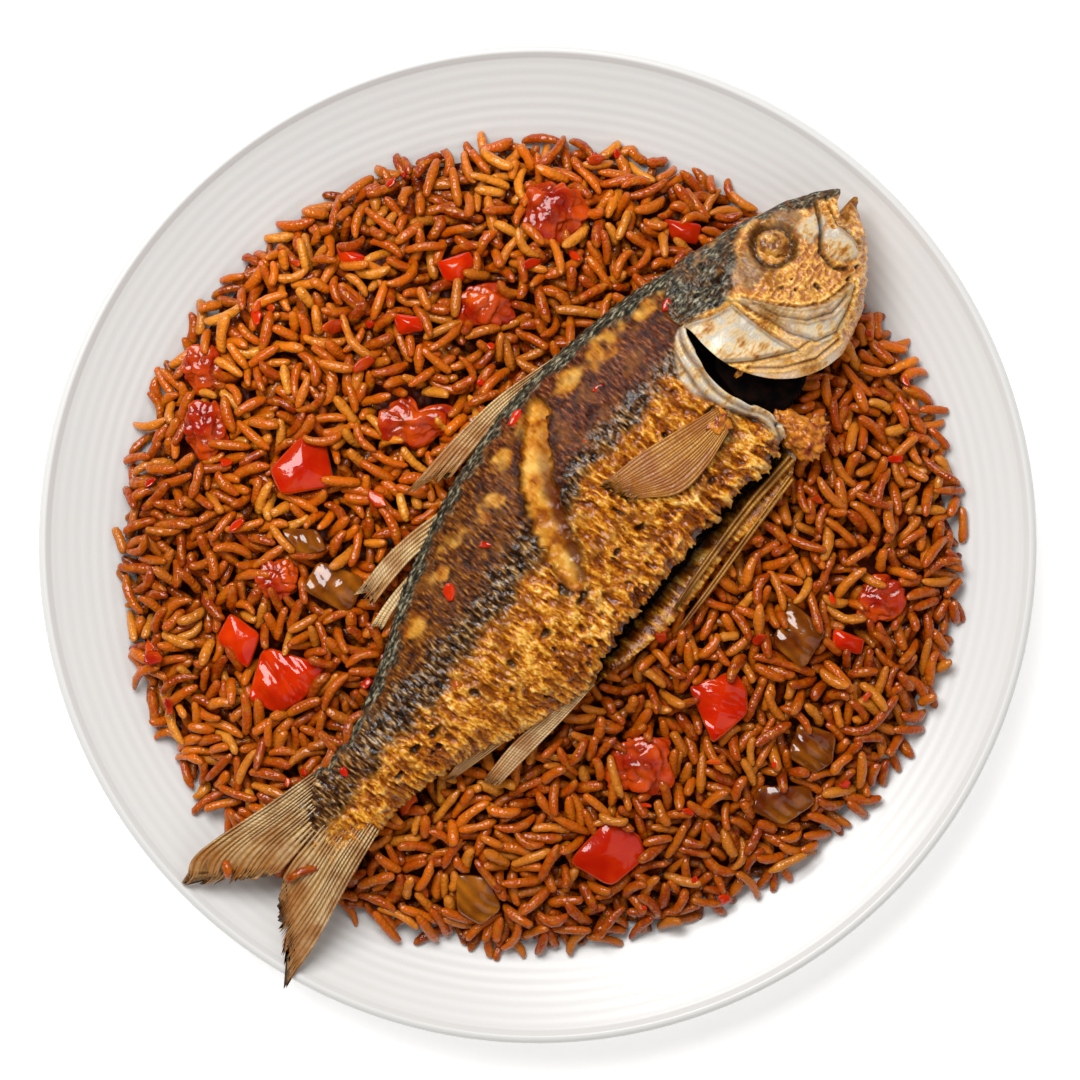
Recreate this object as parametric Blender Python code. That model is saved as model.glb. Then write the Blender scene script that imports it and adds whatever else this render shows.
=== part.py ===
"""Jollof rice with a whole fried fish, served on a ribbed white plate.

Blender 4.5, metres, +Z up. The origin is the centre of the plate's foot ring, on the
surface that the plate stands on. Every separate piece of the meal is one object: the
plate, the heap of rice, the fish, and each lump of pepper, tomato and onion.
"""

import math

import bpy
import bmesh
import numpy as np
from mathutils import Matrix, Vector

MM = 0.001

# ---- Driving dimensions -------------------------------------------------------------
PLATE_RADIUS = 135 * MM
PLATE_HEIGHT = 22 * MM
WELL_RADIUS = 84 * MM          # the flat middle of the plate
WELL_TOP = 6 * MM
FOOT_RADIUS = 82 * MM
FOOT_WIDTH = 6 * MM
FOOT_HEIGHT = 2.4 * MM
PLATE_WALL = 3.8 * MM          # thickness of the plate's rising part
RIB_PITCH = 3.0 * MM           # the turned rings that show round the food
RIB_DEPTH = 0.35 * MM
RIBS = 6
ROUND_STEPS = 52               # straight sides that stand in for every full turn

HEAP_RADIUS = 112 * MM
HEAP_TOP = 32 * MM
HEAP_EDGE_FALL = 3.2           # the higher, the flatter the top and the steeper the edge
HEAP_LUMP = 1.3 * MM
# Waves of the outline: how many there are round it, how deep in mm, and the direction of a crest.
OUTLINE_WAVES = ((1, 1.0, -76), (2, 2.2, 9), (3, 1.2, -48))

FISH_ROOT = (-53.6 * MM, -70.9 * MM)   # where the tail fin joins the body
FISH_TURN = math.radians(50)           # the way the body points, from +X
FISH_HEIGHT = 40 * MM                  # its middle plane over the middle of the heap
FISH_DROOP = 12 * MM                   # how far that plane falls to either end
FISH_DROOP_MIDDLE = 100 * MM
FISH_DROOP_REACH = 120 * MM

GAP = 0.3 * MM                 # air kept between pieces that touch
CUT_GAP = 0.6 * MM             # how far a cutter stands proud of the piece it makes room for
FISH_GAP = 1.0 * MM            # the same for the fish, whose cutter has fewer sides

# The fish in its own frame, in millimetres: x from the tail's root to the snout, y to the back.
BACK_LINE = ((-4, 11.8), (12, 10.3), (30, 14), (60, 25.3), (85, 31.8), (112, 34.5),
             (135, 32.2), (165, 25.6), (190, 17.3), (205, 10.2), (213, 4.8))
BELLY_LINE = ((-4, -12.6), (15, -12.9), (30, -17), (50, -25), (70, -31.5), (95, -36.5),
              (120, -36), (148, -35.5), (160, -27.5), (172, -26), (187, -23.5),
              (197, -19), (206, -12), (213, -4.5))
HALF_THICKNESS = ((-4, 3.0), (12, 5.2), (40, 8.2), (75, 11.2), (110, 12.5), (150, 12.2),
                  (180, 11.0), (200, 7.2), (213, 2.6))
GILL_OPENING = ((156, 12), (152.5, 3), (151, -8), (153, -18), (151, -28), (154, -40),
                (165, -40), (164.5, -19), (161.5, -12), (158.5, -3), (159.5, 6))
BELLY_SLIT = ((72, -31.3), (82, -33.4), (96, -35), (110, -34.2), (124, -32.2), (134, -30.4),
              (126, -29.6), (117, -28), (108, -29.6), (98, -31.4), (89, -29.6), (79, -28.6))
MOUTH = ((207, -3.4), (218, 1.2), (218, 6.2))
TAIL_TOP_LOBE = ((2, 11.6), (-18, 18.4), (-34, 21.8), (-43, 19.2))
TAIL_LOW_LOBE = ((-42, -19.8), (-26, -18.2), (-14, -15.3), (2, -12.6))
TAIL_FORK = (-23.5, 0.4)
FIRST_BACK_FIN = ((132, 31), (118, 36.6), (88, 39.8), (87, 37.4), (96, 30))
SECOND_BACK_FIN = ((80, 29), (52, 34), (49, 31), (58, 27.2), (64, 24.6))
FRONT_BELLY_FIN = ((134, -31), (92, -38.4), (93, -40), (130, -36.8), (138, -33))
VENT_FIN = ((50, -22), (24, -16.6), (29, -20.6), (40, -24))
ANAL_FIN = ((66, -27.5), (48, -24.6), (31, -25), (33, -29.2), (54, -30.6), (68, -31.2))
EYE = (190, 7)
EYE_RADIUS = 7.2
EYE_DEPTH = 2.4
TAIL_TEETH = 5                 # torn tips along each lobe's rear edge
TAIL_TOOTH_DEPTH = 2.2
FIN_THICKNESS = 1.5
BODY_DETAIL = (31, 18)         # oval sections along the fish, and the sides of each
ROOM_DETAIL = (19, 14)         # the same for the hollow that the fish lies in

# Cut vegetables: name, centre (x, y), lift above the heap, slope as (turn, tilt) in degrees, and
# the corners of the outline seen from above, relative to that centre. All in millimetres.
PEPPERS = (
    ("pepper_1", (-63.3, 20.9), 1.4, (60, 8), ((-8.8, -1.1), (-0.3, 8.0), (6.4, 7.0), (9.1, -5.6), (-5.6, -8.3))),
    ("pepper_2", (-80.1, -25.9), 1.3, (200, 9), ((-2.4, 7.8), (6.2, 1.6), (2.4, -8.0), (-6.4, 0.3))),
    ("pepper_3", (-67.3, -36.4), 0.8, (230, 6), ((-6.4, 9.4), (11.2, 4.0), (4.3, -5.9), (-2.4, -9.1), (-10.7, -5.4))),
    ("pepper_4", (-21.8, 74.4), 1.3, (90, 12), ((-5.4, 1.1), (3.7, 4.3), (5.1, 1.1), (1.3, -4.5), (-3.5, -3.7))),
    ("pepper_5", (-49.9, 76.8), 1.0, (150, 14), ((-4.5, 4.0), (4.5, 0.5), (2.9, -3.5), (-2.9, -1.3))),
    ("pepper_6", (19.4, -82.9), 1.4, (285, 12), ((-11.5, -2.4), (-0.5, 9.6), (8.0, 5.1), (10.2, -1.1), (0.5, -9.6))),
    ("pepper_7", (48.3, -43.3), 1.2, (40, 7), ((-8.3, 5.1), (4.5, 9.6), (8.0, 4.3), (8.0, -2.4), (-1.6, -10.7), (-4.0, -2.7))),
    ("pepper_8", (83.7, -26.5), 1.2, (20, 10), ((-4.3, 4.0), (4.3, 0.8), (3.2, -3.5), (-4.8, -1.3))),
    ("pepper_9", (39.7, 84.5), 0.8, (80, 10), ((-5.9, 3.2), (4.8, 1.6), (3.7, -4.0), (-3.7, -2.1))),
    ("pepper_10", (-34.6, 59.1), 1.1, (120, 10), ((-4.3, 2.7), (3.2, 1.6), (4.5, -1.9), (-2.7, -3.2))),
)
ONIONS = (
    ("onion_1", (-54.4, -10.7), 1.0, (15, 6), ((-4.3, 6.4), (8.6, 1.6), (4.0, -8.6), (-9.1, -1.6))),
    ("onion_2", (70.5, -24.6), 1.0, (70, 8), ((-3.5, 10.2), (7.2, 1.1), (0.8, -9.6), (-7.8, -2.4))),
    ("onion_3", (73.7, -54.6), 0.8, (330, 8), ((-3.5, 7.0), (6.7, 3.5), (5.9, -4.5), (0.5, -7.5), (-6.7, -2.4))),
    ("onion_4", (66.2, -69.6), 0.6, (300, 10), ((-7.2, 4.8), (7.2, 4.5), (8.8, -0.3), (0.0, -6.4), (-8.8, -2.1))),
    ("onion_5", (-16.7, -95.2), 0.6, (265, 12), ((-5.4, 6.7), (4.0, 5.4), (7.2, -3.2), (1.3, -8.0), (-5.1, -4.0))),
    ("onion_6", (-63.5, 0.4), 0.6, (120, 7), ((-5.4, 3.7), (4.8, 3.5), (7.5, -2.4), (-1.3, -3.7))),
)
FORKED_TOMATO = ("tomato_3", (-33.6, 31.6), 0.8, (120, 4),
                 ((-9.1, 7.2), (-4.6, 6.2), (0.2, 1.4), (4.6, 4.0), (10.6, 8.6), (7.4, 1.2), (2.4, -5.4), (-3.0, -5.6), (-6.4, -0.8)))
# Tomato lumps: name, centre (x, y), lift, (length, width, height), turn in degrees.
TOMATOES = (
    ("tomato_1", (4.1, 89.3), 0.4, (17, 15, 7), 30),
    ("tomato_2", (-13.8, 64.5), 0.6, (17, 11.5, 7), -25),
    ("tomato_4", (-89.5, 30.2), 0.6, (15, 11.5, 7), 70),
    ("tomato_5", (27.4, -59.4), 0.6, (17, 15, 7), 10),
    ("tomato_6", (92.7, -15.6), 0.6, (13, 12, 6.5), 40),
    ("tomato_7", (-90.8, 47.3), 0.4, (12.5, 10, 6), 60),
    ("tomato_8", (-69.4, -9.4), 0.5, (11, 10, 6), 0),
)
PEPPER_THICKNESS = 3.4
PEPPER_CROWN = 1.5
ONION_THICKNESS = 3.0
ONION_CROWN = 1.9
TOMATO_THICKNESS = 5.0
TOMATO_CROWN = 0.8
CORNER_STEPS = 3               # points that round off each corner of a cut piece
CORNER_SOFTNESS = 0.16


# ---- Small helpers ------------------------------------------------------------------
def through(points, x):
    """A smooth curve through (x, y) points, read at x: cubic pieces whose slopes come from the neighbours."""
    known_x, known_y = (np.array(column, float) for column in zip(*points))
    slopes = np.gradient(known_y, known_x)
    x = np.clip(np.asarray(x, float), known_x[0], known_x[-1])
    i = np.clip(np.searchsorted(known_x, x, side="right") - 1, 0, len(known_x) - 2)
    span = known_x[i + 1] - known_x[i]
    t = (x - known_x[i]) / span
    return ((2 * t**3 - 3 * t**2 + 1) * known_y[i] + (t**3 - 2 * t**2 + t) * span * slopes[i]
            + (3 * t**2 - 2 * t**3) * known_y[i + 1] + (t**3 - t**2) * span * slopes[i + 1])


def make_material(name, colour, roughness):
    material = bpy.data.materials.new(name)
    material.use_nodes = True
    shader = material.node_tree.nodes["Principled BSDF"]
    shader.inputs["Base Color"].default_value = (*colour, 1)
    shader.inputs["Roughness"].default_value = roughness
    shader.inputs["Metallic"].default_value = 0.0
    material.diffuse_color = (*colour, 1)
    return material


def make_object(name, vertices, faces, material=None, smooth=True):
    """A mesh object from points in metres, its faces turned outwards."""
    mesh = bpy.data.meshes.new(name)
    mesh.from_pydata([tuple(v) for v in vertices], [], faces)
    solid = bmesh.new()
    solid.from_mesh(mesh)
    bmesh.ops.recalc_face_normals(solid, faces=solid.faces)
    solid.to_mesh(mesh)
    solid.free()
    if smooth:
        mesh.shade_smooth()
        mesh.set_sharp_from_angle(angle=math.radians(40))
    if material:
        mesh.materials.append(material)
    made = bpy.data.objects.new(name, mesh)
    bpy.context.scene.collection.objects.link(made)
    return made


def as_helper(made):
    """Marks a cutter or a shape that is joined into another, so that it is no piece of its own."""
    made.hide_render = True
    made.display_type = "WIRE"
    return made


def combine(made, operation, helpers):
    """Joins the helpers to an object, or cuts them from it, as one exact Boolean."""
    group = bpy.data.collections.new(f"{made.name}_{operation.lower()}")
    bpy.context.scene.collection.children.link(group)
    for helper in helpers:
        bpy.context.scene.collection.objects.unlink(helper)
        group.objects.link(as_helper(helper))
    group.hide_render = True
    boolean = made.modifiers.new(operation.title(), "BOOLEAN")
    boolean.operation = operation
    boolean.operand_type = "COLLECTION"
    boolean.collection = group
    boolean.solver = "EXACT"


def ring_faces(rings, around):
    """The quads between neighbouring rings of points, each ring holding that many points."""
    return [(r * around + k, r * around + (k + 1) % around,
             (r + 1) * around + (k + 1) % around, (r + 1) * around + k)
            for r in range(rings - 1) for k in range(around)]


def around_circle():
    """The angles of the plate's and the heap's straight sides."""
    return np.arange(ROUND_STEPS) * 2 * math.pi / ROUND_STEPS


# ---- Plate --------------------------------------------------------------------------
def plate_floor(radius):
    """Height of the plate's upper face: flat in the well, then rising in a curve to the rim."""
    rise = np.clip((np.asarray(radius) - WELL_RADIUS) / (PLATE_RADIUS - WELL_RADIUS), 0, 1)
    return WELL_TOP + (PLATE_HEIGHT - WELL_TOP) * rise**1.7


def plate_profile():
    """(radius, height) from the middle of the upper face, over the rim and back along the underside."""
    ribs_from = PLATE_RADIUS - 1.5 * MM - RIBS * RIB_PITCH
    smooth_radii = [0.03, WELL_RADIUS, 0.097, 0.105]
    rib_radii = [ribs_from + k * RIB_PITCH / 2 for k in range(2 * RIBS)]
    upper = [(r, float(plate_floor(r))) for r in smooth_radii]
    upper += [(r, float(plate_floor(r)) - RIB_DEPTH * (k % 2)) for k, r in enumerate(rib_radii)]
    rim = [(PLATE_RADIUS - 0.9 * MM, PLATE_HEIGHT), (PLATE_RADIUS, PLATE_HEIGHT - 0.9 * MM),
           (PLATE_RADIUS - 0.4 * MM, PLATE_HEIGHT - 2.6 * MM)]
    foot_inner = FOOT_RADIUS - FOOT_WIDTH
    lower = [(r, float(plate_floor(r)) - PLATE_WALL) for r in (0.126, 0.112, 0.097)]
    foot = [(FOOT_RADIUS + 1.2 * MM, FOOT_HEIGHT), (FOOT_RADIUS, 0.0), (foot_inner, 0.0),
            (foot_inner - 1.2 * MM, FOOT_HEIGHT), (0.03, FOOT_HEIGHT)]
    return upper + rim + lower + foot


def make_plate(material):
    profile = plate_profile()
    angles = around_circle()
    points = [(r * math.cos(a), r * math.sin(a), z) for r, z in profile for a in angles]
    faces = ring_faces(len(profile), ROUND_STEPS)
    top_centre, low_centre = len(points), len(points) + 1
    points += [(0, 0, WELL_TOP), (0, 0, FOOT_HEIGHT)]
    last = (len(profile) - 1) * ROUND_STEPS
    for k in range(ROUND_STEPS):
        after = (k + 1) % ROUND_STEPS
        faces += [(k, after, top_centre), (last + k, last + after, low_centre)]
    return make_object("plate", points, faces, material)


# ---- Heap of rice -------------------------------------------------------------------
def heap_outline(angle):
    """The heap's uneven radius, as slow waves round a circle."""
    waves = [depth * MM * np.cos(count * angle - math.radians(crest)) for count, depth, crest in OUTLINE_WAVES]
    return HEAP_RADIUS + sum(waves)


def heap_height(x, y):
    """Height of the rice at a place: a flat-topped mound with low lumps on it."""
    radius, angle = np.hypot(x, y), np.arctan2(y, x)
    share = np.clip(radius / heap_outline(angle), 0, 1)
    edge = plate_floor(heap_outline(angle)) + GAP
    fall = (1 - share**HEAP_EDGE_FALL) ** 0.8
    lumps = np.sin(x / 0.013 + 1.3) * np.sin(y / 0.011 + 0.4) + 0.6 * np.sin(x / 0.007 + y / 0.009)
    return edge + (HEAP_TOP - edge) * fall + HEAP_LUMP * lumps * fall


def make_heap(material):
    angles = around_circle()
    outline = heap_outline(angles)
    shares = (0.14, 0.3, 0.45, 0.58, 0.7, 0.8, 0.88, 0.94, 0.98)
    points = []
    for share in shares:
        for a, reach in zip(angles, outline):
            x, y = share * reach * math.cos(a), share * reach * math.sin(a)
            points.append((x, y, float(heap_height(x, y))))
    edge_lift = 1.6 * MM
    low_radii = [(outline, edge_lift), (outline - 1.2 * MM, GAP), (np.full(ROUND_STEPS, 0.105), GAP),
                 (np.full(ROUND_STEPS, 0.097), GAP), (np.full(ROUND_STEPS, WELL_RADIUS), GAP)]
    for radii, lift in low_radii:
        for a, r in zip(angles, radii):
            points.append((r * math.cos(a), r * math.sin(a), float(plate_floor(r)) + lift))
    rings = len(shares) + len(low_radii)
    faces = ring_faces(rings, ROUND_STEPS)
    top_centre, low_centre = len(points), len(points) + 1
    points += [(0, 0, float(heap_height(0, 0))), (0, 0, WELL_TOP + GAP)]
    last = (rings - 1) * ROUND_STEPS
    for k in range(ROUND_STEPS):
        after = (k + 1) % ROUND_STEPS
        faces += [(k, after, top_centre), (last + k, last + after, low_centre)]
    return make_object("rice_heap", points, faces, material)


# ---- Fish ---------------------------------------------------------------------------
def droop(x_mm):
    """How far the fish's middle plane lies under its highest place, in millimetres."""
    return FISH_DROOP / MM * ((np.asarray(x_mm, float) - FISH_DROOP_MIDDLE / MM) / (FISH_DROOP_REACH / MM)) ** 2


def fish_points(points_mm):
    """Points of the fish's own frame, in metres, lowered along the drooping middle plane."""
    p = np.array(points_mm, float)
    p[:, 2] -= droop(p[:, 0])
    return p * MM


def body_mesh(name, detail, grow, material=None):
    """The fish without its fins: oval sections from the tail's root to the snout. grow widens it all over."""
    sections, sides = detail
    stations = np.linspace(BACK_LINE[0][0], BACK_LINE[-1][0], sections)
    back, belly = through(BACK_LINE, stations), through(BELLY_LINE, stations)
    thick = through(HALF_THICKNESS, stations)
    middle, half = (back + belly) / 2, (back - belly) / 2
    turn = np.arange(sides) * 2 * math.pi / sides
    side, up = np.cos(turn), np.sign(np.sin(turn)) * np.abs(np.sin(turn)) ** 0.85
    x = np.repeat(stations, sides)
    x[:sides] -= grow
    x[-sides:] += grow
    y = (middle[:, None] + (half[:, None] + grow) * side).ravel()
    z = ((thick[:, None] + grow) * up).ravel()
    faces = ring_faces(sections, sides)
    last = (sections - 1) * sides
    faces += [tuple(range(sides)), tuple(range(last, last + sides))]
    return make_object(name, fish_points(np.stack([x, y, z], 1)), faces, material)


def prism(name, outline, low, high):
    """A flat shape of the fish's frame: an outline with straight walls between two heights, all in millimetres."""
    n = len(outline)
    points = [(x, y, z) for z in (low, high) for x, y in outline]
    faces = [tuple(range(n)), tuple(range(n, 2 * n))]
    faces += [(k, (k + 1) % n, n + (k + 1) % n, n + k) for k in range(n)]
    made = make_object(name, fish_points(points), faces, smooth=False)
    triangulate(made)
    return made


def triangulate(made):
    """Splits every face, so that a bent outline has no twisted face."""
    solid = bmesh.new()
    solid.from_mesh(made.data)
    bmesh.ops.triangulate(solid, faces=solid.faces)
    solid.to_mesh(made.data)
    solid.free()


def torn_edge(start, end):
    """Points of a zigzag from start to end: the bare tips of the fin's rays."""
    start, end = Vector(start), Vector(end)
    count = 2 * TAIL_TEETH
    return [tuple(start.lerp(end, k / count) + Vector((TAIL_TOOTH_DEPTH * (k % 2), 0))) for k in range(1, count)]


def tail_outline():
    upper_tip, lower_tip = TAIL_TOP_LOBE[-1], TAIL_LOW_LOBE[0]
    return [*TAIL_TOP_LOBE, *torn_edge(upper_tip, TAIL_FORK), TAIL_FORK,
            *torn_edge(TAIL_FORK, lower_tip), *TAIL_LOW_LOBE]


def eye_cutter():
    solid = bmesh.new()
    bmesh.ops.create_uvsphere(solid, u_segments=12, v_segments=6, radius=EYE_RADIUS * MM)
    surface = float(through(HALF_THICKNESS, EYE[0]))
    flat = Matrix.Diagonal((1, 0.88, EYE_DEPTH / EYE_RADIUS, 1))
    place = Matrix.Translation((EYE[0] * MM, EYE[1] * MM, (surface - float(droop(EYE[0]))) * MM))
    bmesh.ops.transform(solid, matrix=place @ flat, verts=solid.verts)
    mesh = bpy.data.meshes.new("eye_socket")
    solid.to_mesh(mesh)
    solid.free()
    made = bpy.data.objects.new("eye_socket", mesh)
    bpy.context.scene.collection.objects.link(made)
    return made


def place_on_heap(made):
    """Moves an object from the fish's frame to where the fish lies."""
    made.location = (*FISH_ROOT, FISH_HEIGHT)
    made.rotation_euler = (0, 0, FISH_TURN)


def make_fish(material):
    fish = body_mesh("fried_fish", BODY_DETAIL, 0.0, material)
    half = FIN_THICKNESS / 2
    fins = [prism("tail_fin", tail_outline(), -half, half)]
    for name, outline, level in (("first_back_fin", FIRST_BACK_FIN, 0.6), ("second_back_fin", SECOND_BACK_FIN, 0.4),
                                 ("front_belly_fin", FRONT_BELLY_FIN, -0.8), ("vent_fin", VENT_FIN, 1.0),
                                 ("anal_fin", ANAL_FIN, -0.6)):
        fins.append(prism(name, outline, level - half, level + half))
    cuts = [prism("gill_opening", GILL_OPENING, 1.0, 25), prism("belly_slit", BELLY_SLIT, -3.0, 25),
            prism("mouth", MOUTH, -12, 12), eye_cutter()]
    combine(fish, "UNION", fins)
    combine(fish, "DIFFERENCE", cuts)
    for piece in (fish, *fins, *cuts):
        place_on_heap(piece)
    room = body_mesh("fish_room", ROOM_DETAIL, FISH_GAP / MM)
    place_on_heap(room)
    return fish, room


# ---- Vegetables ---------------------------------------------------------------------
def softened(corners):
    """The outline with each corner rounded by points on a curve between its two sides."""
    corners = [Vector(c) for c in corners]
    found = []
    for before, corner, after in zip(corners[-1:] + corners[:-1], corners, corners[1:] + corners[:1]):
        start, end = corner.lerp(before, CORNER_SOFTNESS), corner.lerp(after, CORNER_SOFTNESS)
        for k in range(CORNER_STEPS):
            t = k / (CORNER_STEPS - 1)
            found.append(start * (1 - t) ** 2 + corner * 2 * t * (1 - t) + end * t**2)
    return found


def slab_mesh(name, corners, thickness, crown, grow, material=None):
    """A cut piece of vegetable wall: an outline with a crowned upper and lower face. All in millimetres."""
    outline = softened(corners)
    n = len(outline)
    scale = 1 + grow / 5
    inner = 0.66
    points = [(0, 0, thickness / 2 + crown + grow)]
    for share, lift in ((inner, crown * (1 - inner**2)), (1.0, 0.0)):
        points += [(p.x * share * scale, p.y * share * scale, thickness / 2 + lift + grow) for p in outline]
    points += [(p.x * 0.93 * scale, p.y * 0.93 * scale, -thickness / 2 - grow) for p in outline]
    points.append((0, 0, -thickness / 2 + crown * 0.7 - grow))
    faces = []
    for k in range(n):
        after = (k + 1) % n
        faces.append((0, 1 + k, 1 + after))
        for ring in (0, 1):
            a, b = 1 + ring * n, 1 + (ring + 1) * n
            faces.append((a + k, b + k, b + after, a + after))
        faces.append((1 + 2 * n + k, len(points) - 1, 1 + 2 * n + after))
    return make_object(name, np.array(points) * MM, faces, material)


def lump_mesh(name, size, grow, material=None):
    """A soft lump of tomato: a ball stretched to its size, with hollows and swellings. All in millimetres."""
    solid = bmesh.new()
    bmesh.ops.create_icosphere(solid, subdivisions=2, radius=1.0)
    seed = float(sum(map(ord, name.replace("_room", ""))))
    half = Vector(size) / 2
    for v in solid.verts:
        p = v.co
        swell = 1 + 0.07 * math.sin(4.1 * p.x + seed) + 0.06 * math.sin(5.3 * p.y + 2 * seed) * math.cos(3.7 * p.z)
        v.co = Vector([c * (h * swell + grow) for c, h in zip(p, half)]) * MM
    mesh = bpy.data.meshes.new(name)
    solid.to_mesh(mesh)
    solid.free()
    mesh.shade_smooth()
    if material:
        mesh.materials.append(material)
    made = bpy.data.objects.new(name, mesh)
    bpy.context.scene.collection.objects.link(made)
    return made


def rest_on_heap(made, centre, lift, slope):
    """Places a piece half sunk in the rice, leaning by tilt towards the direction turn."""
    x, y = centre[0] * MM, centre[1] * MM
    turn, tilt = (math.radians(v) for v in slope)
    lean_axis = Vector((-math.sin(turn), math.cos(turn), 0))
    made.rotation_mode = "QUATERNION"
    made.rotation_quaternion = Matrix.Rotation(tilt, 3, lean_axis).to_quaternion()
    made.location = (x, y, float(heap_height(x, y)) + lift * MM)


def make_slabs(rows, thickness, crown, material):
    """The cut pieces of one kind, and the cutters that make room for them in the rice."""
    rooms = []
    for name, centre, lift, slope, corners in rows:
        rest_on_heap(slab_mesh(name, corners, thickness, crown, 0.0, material), centre, lift, slope)
        room = slab_mesh(name + "_room", corners, thickness, crown, CUT_GAP / MM)
        rest_on_heap(room, centre, lift, slope)
        rooms.append(room)
    return rooms


def make_lumps(rows, material):
    """The tomato lumps, and the cutters that make room for them in the rice."""
    rooms = []
    for name, centre, lift, size, turn in rows:
        for piece_name, grow, finish in ((name, 0.0, material), (name + "_room", CUT_GAP / MM, None)):
            piece = lump_mesh(piece_name, size, grow, finish)
            piece.data.transform(Matrix.Rotation(math.radians(turn), 4, "Z"))
            rest_on_heap(piece, centre, lift, (0, 0))
        rooms.append(piece)
    return rooms


# ---- The meal -----------------------------------------------------------------------
def clear_scene():
    for old in list(bpy.data.objects):
        bpy.data.objects.remove(old)


def main():
    clear_scene()
    make_plate(make_material("glazed_stoneware", (0.80, 0.79, 0.77), 0.35))
    heap = make_heap(make_material("stewed_rice", (0.50, 0.16, 0.03), 0.45))
    fish, fish_room = make_fish(make_material("fried_fish_skin", (0.42, 0.22, 0.06), 0.4))
    pepper = make_material("red_pepper", (0.75, 0.07, 0.02), 0.2)
    onion = make_material("stewed_onion", (0.35, 0.13, 0.04), 0.25)
    tomato = make_material("stewed_tomato", (0.55, 0.06, 0.02), 0.3)
    rooms = make_slabs(PEPPERS, PEPPER_THICKNESS, PEPPER_CROWN, pepper)
    rooms += make_slabs(ONIONS, ONION_THICKNESS, ONION_CROWN, onion)
    rooms += make_slabs((FORKED_TOMATO,), TOMATO_THICKNESS, TOMATO_CROWN, tomato)
    rooms += make_lumps(TOMATOES, tomato)
    combine(heap, "DIFFERENCE", [fish_room, *rooms])


main()
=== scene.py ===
# %% [markdown]
# # Jollof rice with a whole fried fish, on its plate
# A lesson in building a plated meal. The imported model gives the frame: a plate, the outline of a
# heap of rice, a fish, and lumps of pepper, tomato and onion. Each of them is given its true surface
# here. The heap becomes a few thousand single grains that are dropped one after another.

# %% Load the frame
import math

import bpy
import numpy as np
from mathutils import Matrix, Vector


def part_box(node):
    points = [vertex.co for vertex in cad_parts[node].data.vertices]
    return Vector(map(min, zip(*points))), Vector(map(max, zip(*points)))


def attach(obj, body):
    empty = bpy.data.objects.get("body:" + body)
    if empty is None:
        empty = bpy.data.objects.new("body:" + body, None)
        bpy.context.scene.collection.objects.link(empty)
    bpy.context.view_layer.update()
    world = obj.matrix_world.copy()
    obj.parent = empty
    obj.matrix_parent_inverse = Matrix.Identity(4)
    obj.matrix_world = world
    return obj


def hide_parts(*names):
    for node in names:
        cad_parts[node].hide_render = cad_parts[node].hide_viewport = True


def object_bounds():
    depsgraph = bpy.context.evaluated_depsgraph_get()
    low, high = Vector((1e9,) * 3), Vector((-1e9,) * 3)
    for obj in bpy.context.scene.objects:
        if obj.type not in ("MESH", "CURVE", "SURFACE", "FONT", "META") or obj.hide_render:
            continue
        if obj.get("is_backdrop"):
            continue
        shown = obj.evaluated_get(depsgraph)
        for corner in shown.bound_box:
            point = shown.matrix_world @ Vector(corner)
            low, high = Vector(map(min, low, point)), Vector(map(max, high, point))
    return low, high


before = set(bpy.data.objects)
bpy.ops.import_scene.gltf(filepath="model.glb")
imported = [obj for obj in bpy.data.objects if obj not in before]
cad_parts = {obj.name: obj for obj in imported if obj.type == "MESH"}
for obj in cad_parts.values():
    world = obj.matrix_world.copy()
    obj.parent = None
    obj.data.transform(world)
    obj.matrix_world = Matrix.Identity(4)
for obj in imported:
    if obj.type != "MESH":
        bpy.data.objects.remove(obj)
cad_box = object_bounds()
MM = 0.001
print("nodes:", len(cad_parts), "box:", cad_box)

# %% [markdown]
# ## Meshes from arrays
# Every piece below is a stack of closed rings of points with a single point at either end, which
# is the simplest way to get a surface with no holes: a plate, a grain, a slab of pepper and a fish
# are all that. One function therefore makes all the meshes, and it also turns the faces outwards.

# %% Rings to mesh
def ring_faces(rows, cols, poles):
    """Quads between neighbouring rings, and fans of triangles to the two end points."""
    k = np.arange(cols)
    after = (k + 1) % cols
    base = (np.arange(rows - 1) * cols)[:, None]
    quads = np.stack([base + k, base + after, base + cols + after, base + cols + k], -1).reshape(-1, 4)
    last = (rows - 1) * cols
    fans = [np.stack([after, k, np.full(cols, poles[0])], -1),
            np.stack([last + k, last + after, np.full(cols, poles[1])], -1)]
    return quads, np.concatenate(fans)


def ring_normals_inward(points, quads):
    """True if the closed surface has a negative volume: the sum of a . (b x c) over its triangles."""
    a, b, c, d = (points[quads[:, i]] for i in range(4))
    return np.sum(a * np.cross(b, c)) + np.sum(a * np.cross(c, d)) < 0


def fill_mesh(name, points, quads, triangles, attributes):
    """Puts arrays of points, quads and triangles into a new mesh, with one value per point in each
    attribute."""
    mesh = bpy.data.meshes.new(name)
    corners = np.concatenate([quads.ravel(), triangles.ravel()]).astype(np.int32)
    sizes = np.concatenate([np.full(len(quads), 4), np.full(len(triangles), 3)]).astype(np.int32)
    mesh.vertices.add(len(points))
    mesh.vertices.foreach_set("co", np.ascontiguousarray(points, np.float32).ravel())
    mesh.loops.add(len(corners))
    mesh.loops.foreach_set("vertex_index", corners)
    mesh.polygons.add(len(sizes))
    mesh.polygons.foreach_set("loop_start", (np.cumsum(sizes) - sizes).astype(np.int32))
    mesh.update(calc_edges=True)
    mesh.validate()
    mesh.shade_smooth()
    for key, values in attributes.items():
        values = np.asarray(values, np.float32)
        kind, field = ("FLOAT", "value") if values.ndim == 1 else ("FLOAT_VECTOR", "vector")
        mesh.attributes.new(key, kind, "POINT").data.foreach_set(field, values.ravel())
    return mesh
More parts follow.
